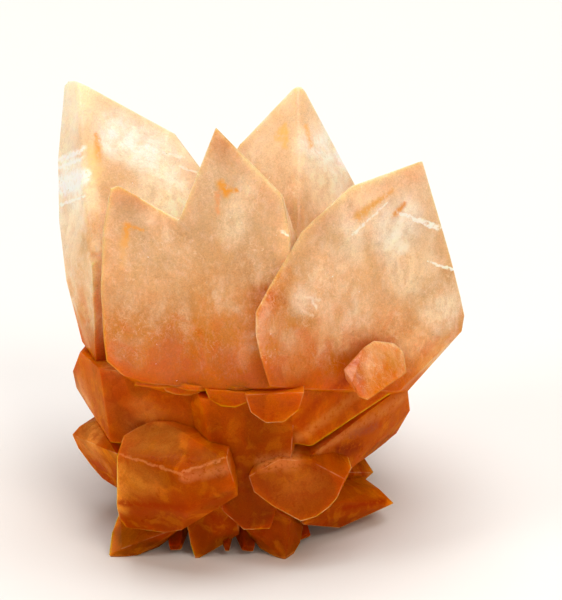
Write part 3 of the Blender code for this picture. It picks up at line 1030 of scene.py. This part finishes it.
def growth_tree() -> bpy.types.NodeTree:
    """Make the tree that raises growth steps and swells on crystal faces and sets their finish."""
    numbers = dict.fromkeys(("Edge Angle", "Step Height", "Step Spacing", "Swell", "Fade"), "Float")
    sheet, given = open_tree("crystal_growth", {**numbers, "Grown": "Material", "Broken": "Material"})
    geometry = given["Geometry"]
    angle = sheet.place("GeometryNodeInputMeshEdgeAngle").outputs["Unsigned Angle"]
    sharp = {"Geometry": geometry, "Selection": sheet.math("GREATER_THAN", angle, given["Edge Angle"])}
    corners = sheet.place("GeometryNodeSeparateGeometry", sharp, domain="EDGE")
    near = sheet.place("GeometryNodeProximity", {0: corners.outputs["Selection"]}, target_element="EDGES")
    kept = {"Geometry": geometry, "Name": "edge_distance", "Value": near.outputs["Distance"]}
    stored = sheet.place("GeometryNodeStoreNamedAttribute", kept, data_type="FLOAT", domain="POINT")
    named = sheet.place("GeometryNodeInputNamedAttribute", {"Name": "edge_distance"}, data_type="FLOAT")
    distance = named.outputs["Attribute"]
    place = sheet.vector("SCALE", sheet.place("GeometryNodeInputPosition").outputs[0], 1.0 / MM)
    cloud = sheet.times(sheet.noise(place, 0.045), 40.0)
    level = sheet.math("ADD", cloud, sheet.times(distance, 1.0 / MM))
    part = sheet.math("FRACT", sheet.math("DIVIDE", level, given["Step Spacing"]))
    step = sheet.times(sheet.fade(part, 0.55, 1.0), given["Step Height"])
    slope = sheet.times(part, -1.0, given["Step Height"])
    swell = sheet.times(sheet.math("SUBTRACT", sheet.noise(place, 0.07), 0.5), given["Swell"])
    raised = sheet.math("ADD", sheet.math("ADD", step, slope), swell)
    height = sheet.parts(place)["Z"]
    raised = sheet.times(
        raised,
        sheet.fade(distance, 0.0, given["Fade"]),
        sheet.math("GREATER_THAN", height, UNDERSIDE),
    )
    normal = sheet.place("GeometryNodeInputNormal").outputs[0]
    push = {"Geometry": stored.outputs["Geometry"], "Offset": sheet.vector("SCALE", normal, raised)}
    moved = sheet.place("GeometryNodeSetPosition", push)
    geometry = sheet.place("GeometryNodeRealizeInstances", {0: moved.outputs[0]}).outputs[0]
    under = sheet.math("LESS_THAN", height, UNDERSIDE)
    for name, chosen in (("Grown", True), ("Broken", under)):
        dress = {"Geometry": geometry, "Selection": chosen, "Material": given[name]}
        geometry = sheet.place("GeometryNodeSetMaterial", dress).outputs[0]
    sheet.place("NodeGroupOutput", {0: geometry})
    return sheet.tree


def flake_tree() -> bpy.types.NodeTree:
    """Make the tree that scatters small chips where the upper crystals are bruised."""
    sockets = {"Density": "Float", "Size": "Float", "Seed": "Int", "Material": "Material"}
    sheet, given = open_tree("chip_scatter", sockets)
    place = sheet.vector("SCALE", sheet.place("GeometryNodeInputPosition").outputs[0], 1.0 / MM)
    bruised = sheet.fade(sheet.noise(place, 0.09, detail=3.0, rough=0.6), 0.52, 0.64)
    above = sheet.fade(sheet.parts(place)["Z"], 34.0, 46.0)
    thick = sheet.times(bruised, above, given["Density"])
    over = {"Mesh": given["Geometry"], "Density": thick, "Seed": given["Seed"]}
    spread = sheet.place("GeometryNodeDistributePointsOnFaces", over)
    chip = sheet.place("GeometryNodeMeshCube", {"Size": (1.0, 0.7, 0.35)})
    sizes = {2: 0.35, 3: 1.0, "Seed": given["Seed"]}
    size = sheet.place("FunctionNodeRandomValue", sizes, data_type="FLOAT")
    tilts = {0: (-0.35, -0.35, -3.1), 1: (0.35, 0.35, 3.1)}
    tilt = sheet.place("FunctionNodeRandomValue", tilts, data_type="FLOAT_VECTOR")
    spin = sheet.place("FunctionNodeEulerToRotation", {0: tilt.outputs[0]})
    turns = {0: spread.outputs["Rotation"], 1: spin.outputs[0]}
    turned = sheet.place("FunctionNodeRotateRotation", turns, rotation_space="LOCAL")
    chips = {
        "Points": spread.outputs["Points"],
        "Instance": chip.outputs[0],
        "Rotation": turned.outputs[0],
        "Scale": sheet.times(size.outputs[1], given["Size"]),
    }
    placed = sheet.place("GeometryNodeInstanceOnPoints", chips)
    real = sheet.place("GeometryNodeRealizeInstances", {0: placed.outputs[0]})
    dress = {"Geometry": real.outputs[0], "Material": given["Material"]}
    dressed = sheet.place("GeometryNodeSetMaterial", dress)
    sheet.place("NodeGroupOutput", {0: dressed.outputs[0]})
    return sheet.tree


def run_tree(obj: bpy.types.Object, tree: bpy.types.NodeTree, values: dict[str, object]) -> None:
    """Run a geometry tree on an object and keep what it makes as the object's plain mesh.

    Args:
        obj: The object.
        tree: The tree.
        values: Name of each of the tree's inputs to its value.
    """
    modifier = obj.modifiers.new(tree.name, "NODES")
    modifier.node_group = tree
    for item in tree.interface.items_tree:
        if item.item_type == "SOCKET" and item.in_out == "INPUT" and item.name in values:
            modifier[item.identifier] = values[item.name]
    graph = bpy.context.evaluated_depsgraph_get()
    shown = obj.evaluated_get(graph)
    mesh = bpy.data.meshes.new_from_object(shown, preserve_all_data_layers=True, depsgraph=graph)
    obj.modifiers.clear()
    obj.data = mesh


def lay_tints(mesh: bpy.types.Mesh, tints: tuple[Tint, ...]) -> None:
    """Store the colour patches on the mesh, as colour times cover, with the cover as alpha."""
    count = len(mesh.vertices)
    places = np.empty(count * 3)
    mesh.vertices.foreach_get("co", places)
    places = places.reshape(-1, 3) / MM
    # Gentle waves keep the patches from being plain ovals
    waves = np.array([[0.31, 0.17, 0.23], [0.19, 0.29, 0.11], [0.13, 0.21, 0.37]])
    places = places + 1.2 * np.sin(places @ waves)
    cover = np.zeros((count, 4))
    for tint in tints:
        distance = np.linalg.norm((places - np.array(tint.centre)) / np.array(tint.reach), axis=1)
        share = np.clip((1.0 - distance) / (1.0 - tint.core), 0.0, 1.0)
        share = (share * share * (3.0 - 2.0 * share) * tint.share)[:, None]
        cover = cover * (1.0 - share) + np.array(linear(tint.colour)) * share
    layer = mesh.color_attributes.new("tint", "FLOAT_COLOR", "POINT")
    layer.data.foreach_set("color", cover.ravel())


@dataclass(frozen=True)
class Softbox:
    """One soft light that faces the crystals."""

    name: str
    place: Triple
    width: float
    height: float
    power: float
    colour: Triple


@dataclass
class Studio:
    """The white table, the soft lights and the camera.

    Attributes:
        target: What the camera looks at.
        distance, elevation: Where the camera stands from there.
        lens: Its focal length.
        floor_size: Side of the white table, in metres.
        table_colour: Colour of the table.
        room_colour, room_strength: Colour and strength of the light from the room.
        aim: What the soft lights face.
        lights: The soft lights.
    """

    target: Triple = (7.2, 0.0, 43.4)
    distance: float = 450.0
    elevation: float = 22.0
    lens: float = 135.0
    floor_size: float = 6.0
    table_colour: Triple = (0.79, 0.78, 0.76)
    room_colour: Triple = (1.0, 0.66, 0.42)
    room_strength: float = 0.2
    aim: Triple = (0.0, 0.0, 40.0)
    lights: tuple[Softbox, ...] = (
        Softbox("top_softbox", (160.0, 430.0, 2000.0), 1900.0, 1900.0, 49.0, (0.96, 1.0, 1.03)),
        Softbox("front_softbox", (900.0, -1400.0, 1900.0), 900.0, 900.0, 16.0, (1.0, 0.9, 0.8)),
        Softbox("left_softbox", (-1700.0, -500.0, 900.0), 600.0, 600.0, 12.0, (1.0, 0.97, 0.93)),
        Softbox("low_front_softbox", (400.0, -2200.0, 520.0), 2600.0, 1000.0, 16.0, (1.0, 0.9, 0.78)),
    )

    def build(self) -> None:
        """Set up the whole studio."""
        self.floor()
        self.room()
        for light in self.lights:
            self.hang(light)
        self.camera()
        bpy.context.scene.view_settings.view_transform = "Standard"
        bpy.context.scene.view_settings.look = "None"
        LOG.info("Studio has %d lights", len(self.lights))

    def floor(self) -> None:
        """Lay the white table."""
        shape = bmesh.new()
        bmesh.ops.create_grid(shape, x_segments=1, y_segments=1, size=self.floor_size / 2)
        table = make_object("table", shape)
        values = {"Base Color": (*self.table_colour, 1.0), "Roughness": 0.6, "Specular IOR Level": 0.1}
        table.data.materials.append(plain_material("white_table", values))

    def room(self) -> None:
        """Fill the room with even light."""
        world = bpy.data.worlds.new("pale_room")
        world.use_nodes = True
        light = world.node_tree.nodes["Background"]
        light.inputs["Color"].default_value = (*self.room_colour, 1.0)
        light.inputs["Strength"].default_value = self.room_strength
        bpy.context.scene.world = world

    def hang(self, softbox: Softbox) -> None:
        """Hang one soft light that faces the crystals."""
        light = bpy.data.lights.new(softbox.name, "AREA")
        light.shape = "RECTANGLE"
        light.size = softbox.width * MM
        light.size_y = softbox.height * MM
        light.energy = softbox.power
        light.color = softbox.colour
        obj = bpy.data.objects.new(softbox.name, light)
        obj.location = Vector(softbox.place) * MM
        ahead = Vector(self.aim) * MM - obj.location
        obj.rotation_euler = ahead.to_track_quat("-Z", "Y").to_euler()
        bpy.context.scene.collection.objects.link(obj)

    def camera(self) -> None:
        """Set the camera to the photograph's view."""
        data = bpy.data.cameras.new("camera")
        data.lens = self.lens
        data.sensor_fit = "VERTICAL"
        data.sensor_height = 36.0
        camera = bpy.data.objects.new("camera", data)
        tilt = math.radians(self.elevation)
        back = Vector((0.0, -math.cos(tilt), math.sin(tilt))) * self.distance
        camera.location = (Vector(self.target) + back) * MM
        camera.rotation_euler = (math.radians(90.0) - tilt, 0.0, 0.0)
        bpy.context.scene.collection.objects.link(camera)
        bpy.context.scene.camera = camera


# Soft patches of colour, back left blade first and feet last; those marked are painted light and shade
TINTS = (
    # Painted light: the back left blade's left face lightened, standing in for light through the blade and
    # glare on it
    Tint((-35, 10, 70), (9, 20, 24), (252, 228, 190), 0.9, 0.5),
    Tint((-18, 10, 70), (14, 9, 14), (255, 242, 222), 0.85),
    Tint((-17, 3, 63), (12, 10, 8), (255, 238, 206), 0.95, 0.4),
    Tint((-28, -10, 50), (5, 7, 14), (244, 208, 160), 0.85, 0.3),
    Tint((-26, 8, 76), (6, 8, 6), (255, 248, 236), 0.95),
    # Painted reflection: a white patch of glare on the same face
    Tint((-33, 5, 71), (4, 6, 7), (255, 248, 232), 0.9),
    Tint((-20, 9, 66), (10, 9, 8), (255, 244, 222), 0.85),
    Tint((-21, 9, 73), (9, 9, 5), (255, 250, 238), 0.8),
    # Painted reflection: the large white glare patch on the same face
    Tint((-35, 7, 66), (6, 11, 5), (255, 248, 230), 0.95, 0.4),
    Tint((-31, 5, 76), (5, 9, 9), (228, 190, 146), 0.8, 0.3),
    Tint((-31, -1, 65), (4, 6, 6), (242, 220, 184), 0.8, 0.3),
    Tint((-34, -2, 52), (6, 12, 14), (246, 216, 176), 0.75),
    Tint((-31.5, -9, 41), (6, 7, 6), (204, 142, 94), 0.75),
    Tint((-33, -8, 27), (6, 8, 6), (224, 152, 98), 0.75),
    Tint((-23, -15, 72), (12, 9, 8), (206, 162, 116), 1.0, 0.3),
    Tint((-18, -18, 67), (3, 5, 3), (250, 226, 190), 0.7),
    Tint((-4, -14, 83), (9, 9, 11), (208, 160, 112), 1.0, 0.3),
    Tint((1, -18, 74), (3, 5, 4), (248, 226, 192), 0.8),
    Tint((5, -18, 71), (4, 6, 7), (208, 160, 112), 0.7),
    Tint((-2.5, -19.5, 67.5), (4, 5, 5), (250, 226, 190), 0.8),
    Tint((-25, -20, 56), (4, 6, 16), (222, 176, 126), 0.7),
    Tint((-15, -20, 58), (14, 6, 10), (232, 190, 142), 0.6),
    Tint((-14, -26, 44), (3, 5, 8), (196, 100, 36), 0.8),
    Tint((-3, -27, 42), (6, 5, 6), (198, 100, 34), 0.8),
    Tint((-19, -24, 42), (4, 5, 5), (216, 140, 66), 0.7),
    Tint((-26, -19, 37), (4, 4, 4), (236, 160, 90), 0.8),
    Tint((8, 10, 74), (14, 12, 14), (240, 208, 168), 0.9),
    Tint((8, 14, 80), (7, 7, 7), (240, 200, 152), 0.7),
    Tint((18, 12, 70), (9, 10, 13), (255, 248, 236), 1.0, 0.4),
    Tint((14, 8, 64), (13, 9, 8), (255, 230, 194), 0.9),
    Tint((28, -12, 56), (17, 13, 21), (240, 194, 146), 0.7),
    Tint((9.5, -19, 64), (6, 8, 7), (242, 198, 148), 0.9),
    # Painted shadow: a golden-orange band where the right blade shades the right side of the front blade
    Tint((7, -26, 60), (4, 5, 6), (212, 140, 58), 0.9),
    Tint((4, -27, 53.5), (4.5, 7, 5), (188, 98, 24), 0.95, 0.3),
    Tint((3.5, -29, 51), (3.5, 5, 7), (200, 112, 34), 0.9, 0.3),
    Tint((1, -26, 46), (4, 6, 7), (218, 132, 54), 0.85),
    Tint((29.5, -9, 63), (8, 9, 9), (255, 244, 226), 0.8),
    Tint((20.5, -15.5, 66), (7, 6, 7), (255, 240, 214), 0.85),
    Tint((20.5, -18, 60), (6, 6, 7), (252, 226, 190), 0.75),
    Tint((33, -9, 52), (8, 8, 9), (252, 226, 188), 0.75),
    Tint((33, -5, 74), (7, 7, 5), (226, 178, 132), 0.8),
    Tint((24, -12, 68), (10, 7, 6), (246, 205, 160), 0.7),
    Tint((16, -20, 53), (8, 8, 12), (248, 208, 168), 0.75),
    Tint((11, -25, 54), (5, 6, 6), (255, 232, 206), 0.8),
    Tint((22, -18, 46), (6, 6, 6), (255, 224, 186), 0.85),
    Tint((20.5, -19, 42.5), (6, 6, 5), (252, 208, 156), 0.8),
    Tint((14.5, -23, 43.5), (5, 6, 5), (250, 206, 162), 0.75),
    Tint((10, -26, 43), (6, 6, 5), (220, 143, 84), 0.8),
    Tint((28, -16, 44), (9, 8, 8), (236, 172, 116), 0.7),
    Tint((39.5, -6, 43), (7, 9, 8), (255, 230, 194), 0.95, 0.3),
    Tint((33, -9, 39), (7, 8, 5), (250, 198, 144), 0.85),
    Tint((38, -6, 34), (8, 9, 5), (244, 172, 96), 0.85),
    Tint((25, -26, 40), (5, 6, 5), (226, 162, 112), 0.9),
    Tint((23, -26, 42.5), (5, 6, 3.5), (184, 96, 32), 0.95, 0.3),
    Tint((20.3, -30, 39.8), (4, 6, 5.5), (156, 70, 10), 0.95, 0.4),
    Tint((21, -26, 37.5), (4, 8, 6), (180, 70, 4), 0.95, 0.3),
    Tint((-28, -14, 30), (7, 9, 7), (180, 98, 38), 0.7),
    Tint((-32, -10, 18), (6, 7, 8), (226, 150, 66), 0.8),
    Tint((-20, -22, 27), (7, 6, 5), (210, 132, 54), 0.7),
    Tint((-17, -28, 27), (11, 8, 5), (196, 118, 38), 0.9),
    Tint((-21, -33, 19), (9, 6, 7), (206, 124, 36), 0.9),
    Tint((-24, -31, 15), (4, 6, 9), (240, 156, 56), 0.9),
    Tint((-7, -34.5, 24.5), (6, 5, 5), (136, 62, 8), 0.85, 0.3),
    Tint((-4, -34, 18), (5, 6, 5), (150, 54, 0), 0.8),
    Tint((1, -29, 20), (7, 6, 11), (146, 54, 0), 0.85),
    Tint((11, -29, 17), (10, 5, 7), (194, 102, 24), 0.85),
    Tint((22, -20, 29), (12, 8, 5), (196, 92, 16), 0.7),
    Tint((-14, -36, 12), (12, 6, 2), (150, 56, 12), 0.8),
    # Painted shade: deep red-brown on the undersides of the feet, next to the table
    Tint((-5, -30, 6), (16, 8, 7), (134, 40, 0), 0.8),
    Tint((-20, -26, 2), (12, 8, 4), (80, 16, 0), 0.9, 0.4),
    Tint((-2, -28, 2), (10, 6, 3), (96, 28, 0), 0.9, 0.4),
)

ORANGE = (234, 164, 62)
GOLD = (243, 194, 112)
MILK = (255, 250, 240)

STROKES = (
    # Painted reflection: white glare bands on the back left blade's left face
    Stroke((-37.7, 15.3, 67.8), (-31.3, 3.5, 74.0), 0.6, 0.1, MILK, 0.9, 0.3),
    Stroke((-37.7, 14.4, 66.4), (-31.4, 2.1, 72.6), 0.5, 0.0, MILK, 0.9, 0.3),
    Stroke((-37.1, 11.4, 63.5), (-31.1, -0.2, 69.6), 2.2, -0.6, MILK, 0.95, 0.5),
    Stroke((-37.3, 10.0, 60.0), (-30.8, -2.7, 66.4), 0.3, 0.0, MILK, 0.8, 0.3),
    Stroke((-29.2, 5.8, 76.0), (-28.8, 2.8, 72.6), 0.8, 0.7, (234, 168, 84), 0.95, 0.1),
    Stroke((-30.3, 4.0, 73.6), (-28.6, 1.0, 69.5), 1.6, 0.6, (246, 214, 150), 0.6, 0.0),
    Stroke((-22.0, -17.8, 65.6), (-22.4, -19.0, 62.2), 1.1, 0.0, ORANGE, 0.9, 0.0),
    Stroke((-21.6, -17.8, 65.5), (-18.9, -18.2, 64.9), 0.9, -0.3, ORANGE, 0.85, 0.0),
    Stroke((-22.6, -19.2, 62.8), (-22.9, -20.4, 58.6), 1.8, -0.5, (236, 188, 118), 0.6, 0.0),
    Stroke((-4.2, -17.3, 73.8), (-3.2, -17.6, 72.4), 1.4, 0.2, ORANGE, 0.9, 0.1),
    Stroke((-3.4, -17.5, 72.9), (-1.0, -17.9, 72.8), 1.1, -0.6, ORANGE, 0.85, 0.0),
    Stroke((-4.8, -17.8, 72.0), (-4.6, -18.8, 68.6), 0.9, -0.2, (236, 166, 110), 0.75, 0.0),
    Stroke((8.0, 11.4, 76.4), (6.8, 10.4, 74.2), 0.6, 0.9, GOLD, 0.9, 0.0),
    Stroke((8.3, 11.0, 75.6), (8.0, 9.0, 72.8), 0.8, 0.2, GOLD, 0.85, 0.0),
    Stroke((12.2, 11.8, 76.0), (13.2, 10.6, 72.4), 0.9, 0.0, (243, 186, 112), 0.85, 0.0),
    Stroke((28.5, -9.1, 69.6), (22.0, -13.6, 66.4), 0.7, 1.0, (232, 172, 84), 0.85, 0.0),
    Stroke((31.0, -7.8, 66.4), (29.2, -9.2, 65.0), 0.9, 0.2, (228, 150, 56), 0.9, 0.0),
    Stroke((27.6, -9.8, 67.6), (21.0, -15.4, 63.2), 0.25, 0.2, MILK, 0.7),
    Stroke((30.4, -8.6, 64.8), (38.0, -3.8, 60.0), 0.4, 0.35, MILK, 0.95, 0.5),
    Stroke((30.6, -9.0, 63.8), (29.0, -10.4, 60.4), 1.0, 0.8, (254, 242, 222), 0.7),
    Stroke((28.0, -11.0, 59.2), (31.0, -9.0, 58.0), 1.6, 0.4, (254, 238, 214), 0.7),
    Stroke((36.0, -6.0, 54.0), (41.2, -2.6, 50.8), 0.25, 0.15, MILK, 0.9, 0.5),
    Stroke((11.9, -23.7, 53.4), (14.6, -22.3, 52.2), 0.5, 0.1, (255, 240, 220), 0.7, 0.0),
    Stroke((13.2, -23.2, 52.2), (13.9, -22.8, 50.9), 0.5, -0.1, MILK, 0.8, 0.0),
    Stroke((11.2, -24.6, 51.0), (13.2, -23.6, 49.4), 0.4, 0.1, (254, 236, 210), 0.5, 0.0),
    Stroke((7.4, -21.2, 65.9), (8.6, -21.3, 65.2), 0.4, 0.0, MILK, 0.85),
    Stroke((-16.5, 9.4, 71.4), (-12.0, 10.4, 69.8), 0.2, 0.1, MILK, 0.7),
    Stroke((-13.0, 8.6, 68.7), (-9.6, 9.2, 67.2), 0.2, 0.1, MILK, 0.6),
    Stroke((10.5, -27.5, 26.0), (25.5, -17.0, 32.5), 1.6, 0.6, (208, 122, 46), 0.7, 0.0),
    Stroke((10.5, -27.5, 29.5), (19.5, -20.7, 35.0), 1.6, 0.4, (160, 50, 0), 0.6, 0.0),
    Stroke((14.7, -25.3, 22.4), (30.9, -9.1, 25.6), 1.2, 1.4, (206, 122, 56), 0.6, 0.0),
    Stroke((18.5, -21.5, 20.5), (22.0, -18.5, 19.5), 2.0, 0.4, (124, 30, 0), 0.8, 0.1),
    Stroke((21.5, -19.0, 22.6), (25.5, -15.0, 22.4), 1.6, 0.2, (150, 72, 44), 0.6, 0.1),
    Stroke((-23.5, -31.0, 24.2), (-11.5, -36.3, 22.6), 0.35, 0.1, (222, 150, 84), 0.4, 0.1),
    Stroke((-11.3, -36.3, 23.0), (-3.3, -35.8, 25.6), 0.3, 0.1, (226, 158, 98), 0.45, 0.1),
    Stroke((-11.0, -36.3, 22.0), (-3.3, -35.8, 23.6), 1.6, 0.3, (206, 124, 66), 0.6, 0.0),
    Stroke((-24.5, -30.0, 13.3), (-12.0, -35.6, 15.0), 1.3, 0.4, (150, 46, 0), 0.85, 0.1),
    Stroke((-12.0, -35.6, 15.0), (-2.0, -34.5, 17.0), 1.3, 0.4, (150, 46, 0), 0.7, 0.1),
    Stroke((3.5, -29.5, 21.6), (9.5, -29.3, 21.8), 2.0, 0.8, (212, 128, 60), 0.7, 0.0),
    Stroke((18.5, -19.5, 7.2), (28.1, -13.3, 5.2), 1.1, -0.2, (146, 40, 0), 0.8, 0.1),
    Stroke((-31.0, -10.5, 16.6), (-27.5, -12.1, 11.8), 1.4, 0.2, (196, 104, 34), 0.7, 0.0),
    Stroke((-5.4, -29.1, 27.0), (0.0, -30.5, 19.5), 1.8, 0.3, (150, 48, 0), 0.6, 0.0),
)

SHARDS = (
    Shard((-13.0, -9.0, 8.5), (-13.5, -26.5, 1.8), 10.0, 5.0, 10.0, 0.4),
    Shard((-1.0, -9.0, 8.5), (0.8, -27.0, 1.8), 10.0, 5.0, -12.0, 0.4),
    Shard((-7.0, -12.0, 8.0), (-8.0, -25.0, 1.8), 8.0, 4.0, 0.0, 0.4),
    Shard((6.0, -9.0, 8.0), (12.0, -22.0, 1.8), 8.0, 5.0, 20.0, 0.4),
    Shard((-4.0, -10.0, 9.5), (-3.4, -27.6, 2.4), 6.0, 5.0, 96.0, 0.4),
    Shard((-15.0, -14.0, 36.2), (-15.5, -26.6, 36.5), 11.0, 2.0, 93.0, 0.8),
    Shard((-9.0, -14.0, 36.3), (-9.5, -28.0, 36.6), 14.0, 2.0, 86.0, 0.8),
    Shard((0.0, -14.0, 36.6), (-0.5, -28.9, 36.9), 16.0, 2.0, 92.0, 0.8),
)

SOFT_RIDGES = (
    SoftRidge((-33.0, 13.0, 85.0), (-29.5, -10.7, 58.0), 2.6),
    SoftRidge((-29.5, -10.7, 58.0), (-29.0, -14.0, 36.2), 2.2),
    SoftRidge((2.5, -31.1, 49.0), (34.5, -4.0, 74.0), 1.2),
    SoftRidge((-6.5, -29.3, 26.1), (-8.0, -28.4, 34.5), 2.0),
    SoftRidge((13.0, -27.0, 24.0), (9.5, -28.0, 31.0), 2.0),
    SoftRidge((11.0, -4.2, 57.0), (11.0, 16.0, 84.0), 1.8),
    SoftRidge((-24.0, -31.0, 24.0), (-12.0, -36.3, 23.0), 1.1),
    SoftRidge((-12.0, -36.3, 23.0), (-3.0, -35.7, 25.5), 1.1),
    SoftRidge((-24.5, -29.6, 12.0), (-10.5, -36.2, 15.0), 1.1),
    SoftRidge((-10.5, -36.2, 15.0), (-1.5, -36.5, 20.5), 1.1),
    SoftRidge((-10.5, -36.2, 15.0), (-10.5, -36.8, 21.5), 1.1),
)

GROWN = CalciteFinish(
    surface=Surface.GROWN,
    zones=(
        (-36.0, (128, 38, 0)),
        (-28.0, (142, 46, 0)),
        (-20.0, (158, 62, 0)),
        (-10.0, (166, 68, 0)),
        (-3.0, (182, 76, 0)),
        (1.0, (190, 84, 0)),
        (5.0, (196, 101, 0)),
        (10.0, (206, 128, 40)),
        (18.0, (212, 156, 98)),
        (30.0, (214, 172, 126)),
        (42.0, (226, 194, 154)),
        (50.0, (246, 224, 194)),
    ),
    feather_share=0.5,
    strokes=STROKES,
)

BROKEN = CalciteFinish(
    surface=Surface.BROKEN,
    zones=((-36.0, (176, 96, 44)), (0.0, (196, 130, 84))),
    veil_colour=(230, 190, 150),
    veil_share=0.5,
    roughness=0.55,
    relief=0.6,
    depth=1.5,
    transmission=0.0,
)


def main() -> None:
    """Build the specimen and its studio."""
    logging.basicConfig(level=logging.INFO)
    groups = {
        "stroke": stroke_group(),
        "veil": veil_group(),
        "feather": feather_group(),
        "fan": fan_group(),
        "plane": plane_group(),
        "speck": speck_group(),
    }
    materials = {finish.surface: finish.build(groups) for finish in (GROWN, BROKEN)}
    cluster = CrystalCluster(SOFT_RIDGES, TINTS).build(materials)
    YoungCrystals(SHARDS, TINTS).build(materials[Surface.GROWN])
    CleavageFlakes().build(cluster)
    Studio().build()


if __name__ == "__main__":
    main()
